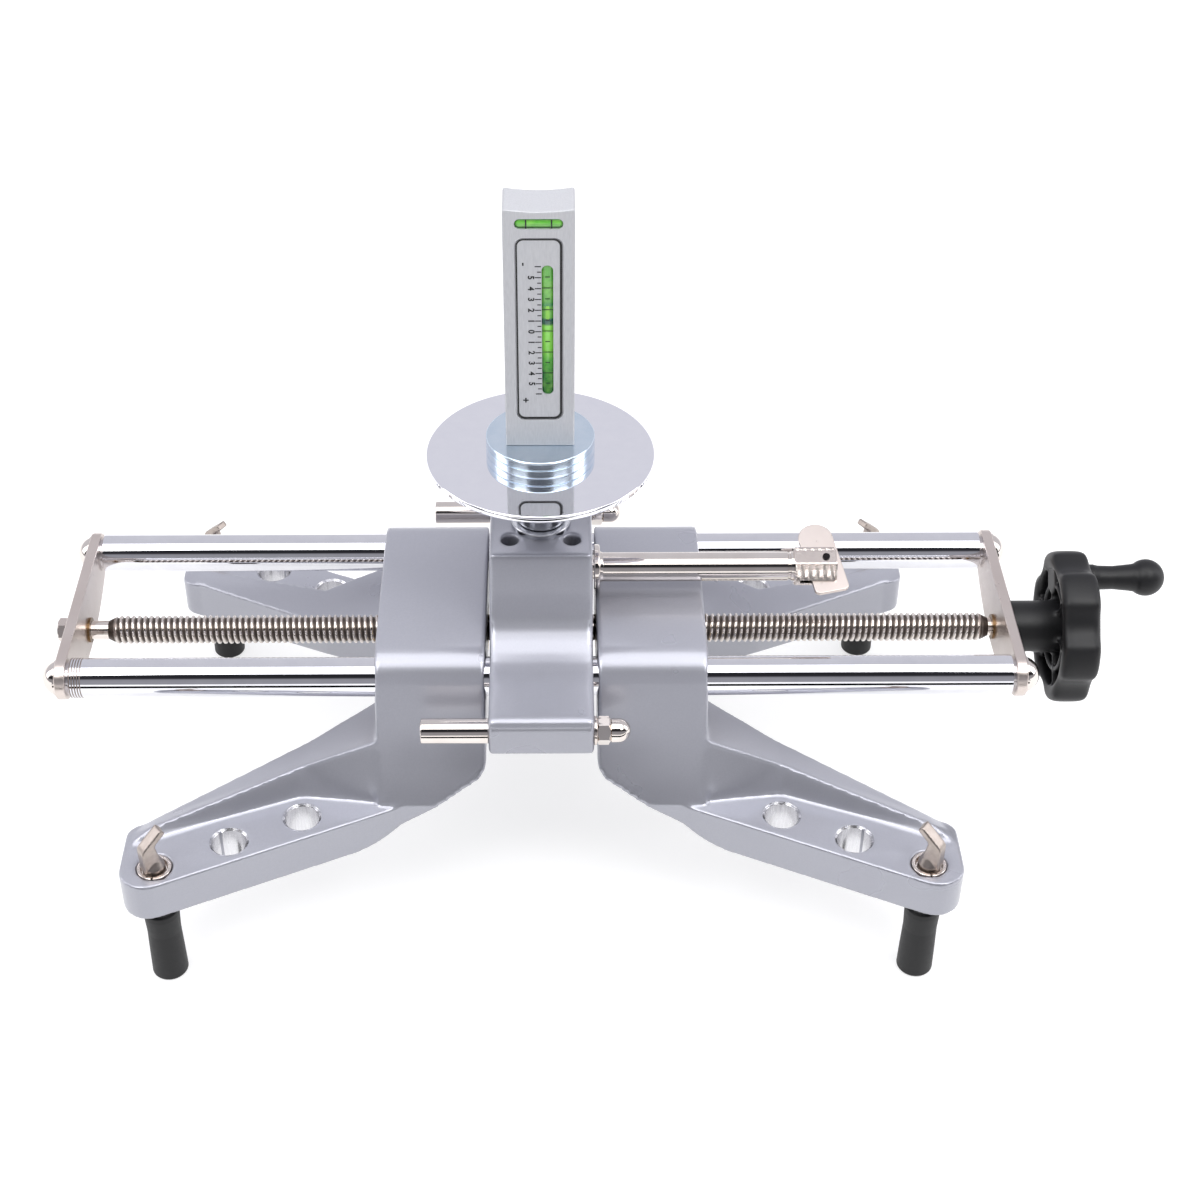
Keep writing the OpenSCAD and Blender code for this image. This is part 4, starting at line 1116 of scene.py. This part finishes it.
# Painted highlights: pale green spots mixed into the spirit where a noise field is high
swirl = add_node(green_spirit, "TexNoise", {"Vector": place, "Scale": 1 / (4 * mm), "Detail": 3.0})
painted_highlight = add_node(green_spirit, "MapRange", {"Value": swirl, "From Min": 0.4, "From Max": 0.9, "To Max": 0.5})
tone = add_node(green_spirit, "MixRGB", {"Fac": painted_highlight, "Color1": spirit, "Color2": linear("#A5E667")})
surface_of(
    green_spirit,
    {
        "Base Color": tone,
        "Roughness": 0.12,
        "Coat Weight": 0.8,
        "Coat Roughness": 0.03,
        # A faint painted glow: the spirit lights itself, though it is no lamp
        "Emission Color": tone,
        "Emission Strength": 0.12,
    },
)

# Air bubble: pale green, with a painted shade at its rim, dark teal where the surface turns away from the
# view
bubble_air = new_material("bubble_air")
rim = add_node(bubble_air, "LayerWeight", {"Blend": 0.35})
tone = add_node(bubble_air, "MixRGB", {"Fac": rim, "Color1": linear("#9BE35A"), "Color2": linear("#0F5A46")})
surface_of(bubble_air, {"Base Color": tone, "Roughness": 0.08})


def capsule(axis, centre, low, high, radius, edge, steps=96):
    """Turned bar with rounded ends, for a vial or the bubble in it."""
    profile = [(low, 0, 0), (low, radius, edge), (high, radius, edge), (high, 0, 0)]
    return turned(axis, centre, profile, steps=steps)


upright = capsule("Z", (slot_x, camber_y, 0), tube_low, tube_high, camber_r, 1.0)
add_piece("upright_vial", upright, "gauge", green_spirit, "green_vial", "camber_vial")
cross = capsule("X", (0, level_y, level_z), -level_w / 2, level_w / 2, level_r, 1.4)
add_piece("cross_vial", cross, "gauge", green_spirit, "green_vial", "level_vial")
for name, axis, centre, low, high, radius in (
    ("camber_bubble", "Z", (slot_x, camber_y - 2.3, 0), zero_z + 4.0, zero_z + 11.5, 1.62),
    ("level_bubble", "X", (0, front + 1.15, level_z + 0.3), -3.4, 4.2, 0.95),
):
    bubble = capsule(axis, centre, low, high, radius, radius * 0.9, 48)
    add_piece(name, bubble, "gauge", bubble_air, "green_vial")

vial_front = camber_y - camber_r
lines = []
for step in range(-5, 6):
    reach = long_ring if step % 2 == 0 else short_ring
    lines.append(bar(slot_x - reach, slot_x + reach, zero_z - step * degree, ring_w, vial_front - 0.15))
for x in (-level_ring_x, level_ring_x):
    ring = rectangle(x - level_ring_half, x + level_ring_half, level_z - level_ring_h, level_z + level_ring_h)
    lines.append(cut_plate("Y", ring, front + 0.01, front + 0.06))
add_piece("vial_rings", joined(lines), "gauge", black_ink, "green_vial")

# Lock screw. A plated steel rod with a turned flange, screwed into the tower to
# hold the spindle; its slotted collar is knurled, and a loose wing on a cross
# pin turns it.
lock_z = rods_z + 23.4
lock_turn = math.radians(20)
wing_swing = math.radians(12)
lock_tip = 5.8
lock_thread_r = 5
lock_rod_r = 6
flange_from, flange_to = 21.65, 24.15
lock_flange_r = 9.4
undercut_r = 5.6
collar_x, collar_end = 104.0, 121.4
collar_r = 7.9
collar_bore = 6.02
collar_ease = 0.6
slot_half = 1.05
slot_depth = 15
flat_r = 6.98
teeth = 46
knurl_pitch = 5.8
knurl_depth = 0.4
knurl_rows, knurl_steps = 70, 276
pin_x = 117.0
pin_hole_r = 1.55
wing_t = 1.8
wing_half = 7.25
wing_edge = 0.35
at_lock = Matrix.Translation((0, 0, lock_z * mm)) @ Matrix.Rotation(lock_turn, 4, "X")
slot_cut = cut_plate("Z", rectangle(collar_end - slot_depth, collar_end + 1, -20, 20), -slot_half, slot_half)

rod_profile = [
    (lock_tip, 0, 0),
    (lock_tip, lock_thread_r, 1),
    (flange_from, lock_thread_r, 0),
    (flange_from, lock_flange_r, 0.5),
    (flange_to, lock_flange_r, 0.8),
    (flange_to, 6.6, 0.3),
    (25.4, lock_rod_r, 0.3),
    (collar_x - 2.4, lock_rod_r, 0.2),
    (collar_x - 2.2, undercut_r, 0.1),
    (collar_x - 1.4, undercut_r, 0.1),
    (collar_x - 1.2, lock_rod_r, 0.2),
    (collar_end - 0.5, lock_rod_r, 0.4),
    (collar_end - 0.5, 0, 0),
]
rod = carved(turned("X", (0, 0, 0), rod_profile), slot_cut)
rod.transform(at_lock)
add_piece("lock_rod", rod, "lock_screw", polished_nickel, "nickel_plate", "lock_screw")


def collar_radius(x, angle):
    """Radius of the collar in mm: a crossed knurl, eased at both ends, with a flat on two sides."""
    one = abs(math.sin((teeth * angle + x * knurl_pitch) / 2))
    two = abs(math.sin((teeth * angle - x * knurl_pitch) / 2))
    radius = collar_r - knurl_depth * (1 - min(one, two))
    to_end = min(x - collar_x, collar_end - x)
    if to_end < collar_ease:
        radius = collar_r - 0.25 - 0.5 * (collar_ease - to_end)
    return min(radius, flat_r / max(abs(math.sin(angle)), 0.1))


spots = []
for i in range(knurl_rows + 1):
    x = collar_x + (collar_end - collar_x) * i / knurl_rows
    spots += circle("X", (0, 0, 0), x, lambda angle: collar_radius(x, angle), knurl_steps)
faces = tube(knurl_rows + 1, knurl_steps)
inner, last = len(spots), knurl_rows * knurl_steps
for x in (collar_x, collar_end):
    spots += circle("X", (0, 0, 0), x, collar_bore, knurl_steps)
for k in range(knurl_steps):
    n = (k + 1) % knurl_steps
    outer = inner + knurl_steps
    faces.append((inner + k, inner + n, n, k))
    faces.append((outer + k, outer + n, last + n, last + k))
    faces.append((inner + k, inner + n, outer + n, outer + k))
pin_profile = [(-12, 0, 0), (-12, pin_hole_r, 0), (12, pin_hole_r, 0), (12, 0, 0)]
pin_hole = turned("Z", (pin_x, 0, 0), pin_profile, steps=32)
knurled = carved(as_mesh("collar", spots, faces), slot_cut, pin_hole)
knurled.transform(at_lock)
add_piece("knurled_collar", knurled, "lock_screw", bright_nickel, "nickel_plate", "lock_collar")

# Black oxide on the pin: dark and half dull
dress("wing_pin", mottled("black_oxide_steel", tone=((1.2, 3.0), "#141314", "#2B292A"), gloss=0.45))

wing_corners = [
    (-wing_half, -13, 2.2),
    (wing_half, -13, 2.2),
    (wing_half, 20.4, wing_half - 0.3),
    (-wing_half, 20.4, wing_half - 0.3),
]
wing = cut_plate("Z", eased(wing_corners, 10), -wing_t / 2, wing_t / 2, wing_edge)
wing.transform(at_lock @ Matrix.Translation((pin_x * mm, 0, 0)) @ Matrix.Rotation(wing_swing, 4, "Z"))
add_piece("pressed_wing", wing, "lock_wing", satin_nickel, "nickel_plate", "lock_wing")

# Floor and light. A white table, one wide light box overhead and four smaller
# ones in a pale room, with a dark band above the camera, as round a product
# bench.
half_floor = 6.0
floor_z = -0.0003
near_glow, far_glow = 0.66, 0.9
glow_from, glow_to = 0.3, 2.5

# Matt white table: it glows only where the camera or a clear reflection sees it,
# more so far out, which keeps the object's shadow and leaves the rest white
white_table = new_material("white_table")
path = white_table.node_tree.nodes.new("ShaderNodeLightPath")
grain = add_node(white_table, "TexNoise", {"Scale": 300.0})
whites = {"Fac": grain, "Color1": linear("#B4B4B4"), "Color2": linear("#BABABA")}
lit = add_node(white_table, "BsdfDiffuse", {"Color": add_node(white_table, "MixRGB", whites)})
place = add_node(white_table, "TexCoord", {}, "Object")
away = add_node(white_table, "VectorMath", {0: place}, "Value", operation="LENGTH")
span = {"Value": away, "From Min": glow_from, "From Max": glow_to, "To Min": near_glow, "To Max": far_glow}
rise = add_node(white_table, "MapRange", span)
glow = add_node(white_table, "Emission", {"Color": linear("#FFFFFF"), "Strength": rise})
both = add_node(white_table, "AddShader", {0: lit, 1: glow})
seen = path.outputs["Is Camera Ray"]
for ray in ("Is Glossy Ray", "Is Transmission Ray"):
    seen = add_node(white_table, "Math", {0: seen, 1: path.outputs[ray]}, operation="MAXIMUM")
shown = add_node(white_table, "MixShader", {"Fac": seen, 1: lit, 2: both})
add_node(white_table, "OutputMaterial", {"Surface": shown})


def staged_sheet(name, corners, material):
    """Four-cornered sheet of the studio, in metres."""
    sheet = bpy.data.meshes.new(name)
    sheet.from_pydata(corners, [], [(0, 1, 2, 3)])
    sheet.materials.append(material)
    thing = linked(name, sheet)
    return thing


floor_corners = [(x, y, floor_z) for x, y in rectangle(-half_floor, half_floor, -half_floor, half_floor)]
staged_sheet("floor", floor_corners, white_table)

# Black card: it stands low in front of the object, gives the chrome its lower
# dark line and is seen in reflections alone
black_card = new_material("black_card")
grain = add_node(black_card, "TexNoise", {"Scale": 60.0})
blacks = {"Fac": grain, "Color1": linear("#0A0A0B"), "Color2": linear("#151517")}
surface = add_node(black_card, "BsdfDiffuse", {"Color": add_node(black_card, "MixRGB", blacks)})
add_node(black_card, "OutputMaterial", {"Surface": surface})
card_y, card_half, card_top = -0.28, 0.5, 0.06
card_corners = [(x, card_y, z) for x, z in rectangle(-card_half, card_half, 0, card_top)]
card = staged_sheet("card", card_corners, black_card)
card.visible_camera = False
card.visible_diffuse = False
card.visible_shadow = False

# Room: its tone goes by the height above the front horizon, over the zenith to
# the rear one; past the table's edge the camera itself sees plain white
world = bpy.data.worlds.new("studio")
bpy.context.scene.world = world
world.use_nodes = True
world.node_tree.nodes.clear()
parts = world.node_tree.nodes.new("ShaderNodeSeparateXYZ")
world.node_tree.links.new(add_node(world, "TexCoord", {}), parts.inputs[0])
behind = add_node(world, "Math", {0: parts.outputs["Y"], 1: -1.0}, operation="MULTIPLY")
height = add_node(world, "Math", {0: parts.outputs["Z"], 1: behind}, operation="ARCTAN2")
room = ramp(
    world,
    add_node(world, "Math", {0: height, 1: math.pi}, operation="DIVIDE"),
    [
        (0.0, "#A2A2A8"),
        (0.14, "#9A9AA0"),
        (0.19, "#303034"),
        (0.29, "#242428"),
        (0.36, "#B8B8C0"),
        (0.5, "#D8D8E0"),
        (0.8, "#DCDCE4"),
        (1.0, "#DCDCE4"),
    ],
)
sky = add_node(world, "Background", {"Color": room, "Strength": 1.0})
paper = add_node(world, "Background", {"Color": linear("#FFFFFF"), "Strength": 1.0})
direct = add_node(world, "LightPath", {}, "Is Camera Ray")
add_node(world, "OutputWorld", {"Surface": add_node(world, "MixShader", {0: direct, 1: sky, 2: paper})})

# Light boxes: place and aim in metres, width, height and watts
for name, place, aim, width, height, watts in (
    ("overhead_box", (0, -0.31, 1.35), (0, -0.1, 0.1), 1.8, 1.04, 12),
    ("left_box", (-1.5, 0.0, 0.8), (0, 0, 0.1), 0.7, 1.2, 5),
    ("right_box", (1.5, 0.0, 0.8), (0, 0, 0.1), 0.7, 1.2, 6),
    ("left_front_box", (-0.85, -0.85, 1.6), (0, 0, 0.1), 0.8, 0.8, 8),
    ("right_front_box", (0.85, -0.85, 1.6), (0, 0, 0.1), 0.8, 0.8, 9),
):
    lamp = bpy.data.lights.new(name, "AREA")
    lamp.shape = "RECTANGLE"
    lamp.size = width
    lamp.size_y = height
    lamp.energy = watts
    box = linked(name, lamp)
    box.location = place
    box.rotation_euler = (Vector(aim) - Vector(place)).to_track_quat("-Z", "Y").to_euler()

# Camera at the photograph's angle
lens = bpy.data.cameras.new("camera")
lens.sensor_width = 36
lens.lens = 62.89
lens.shift_x = 0.0321
lens.shift_y = 0.0088
camera = linked("camera", lens)
camera.location = (0.00409, -0.69017, 0.65085)
camera.rotation_euler = (math.radians(51.659), 0, math.radians(-0.353))
bpy.context.scene.camera = camera
bpy.context.scene.view_settings.view_transform = "Standard"
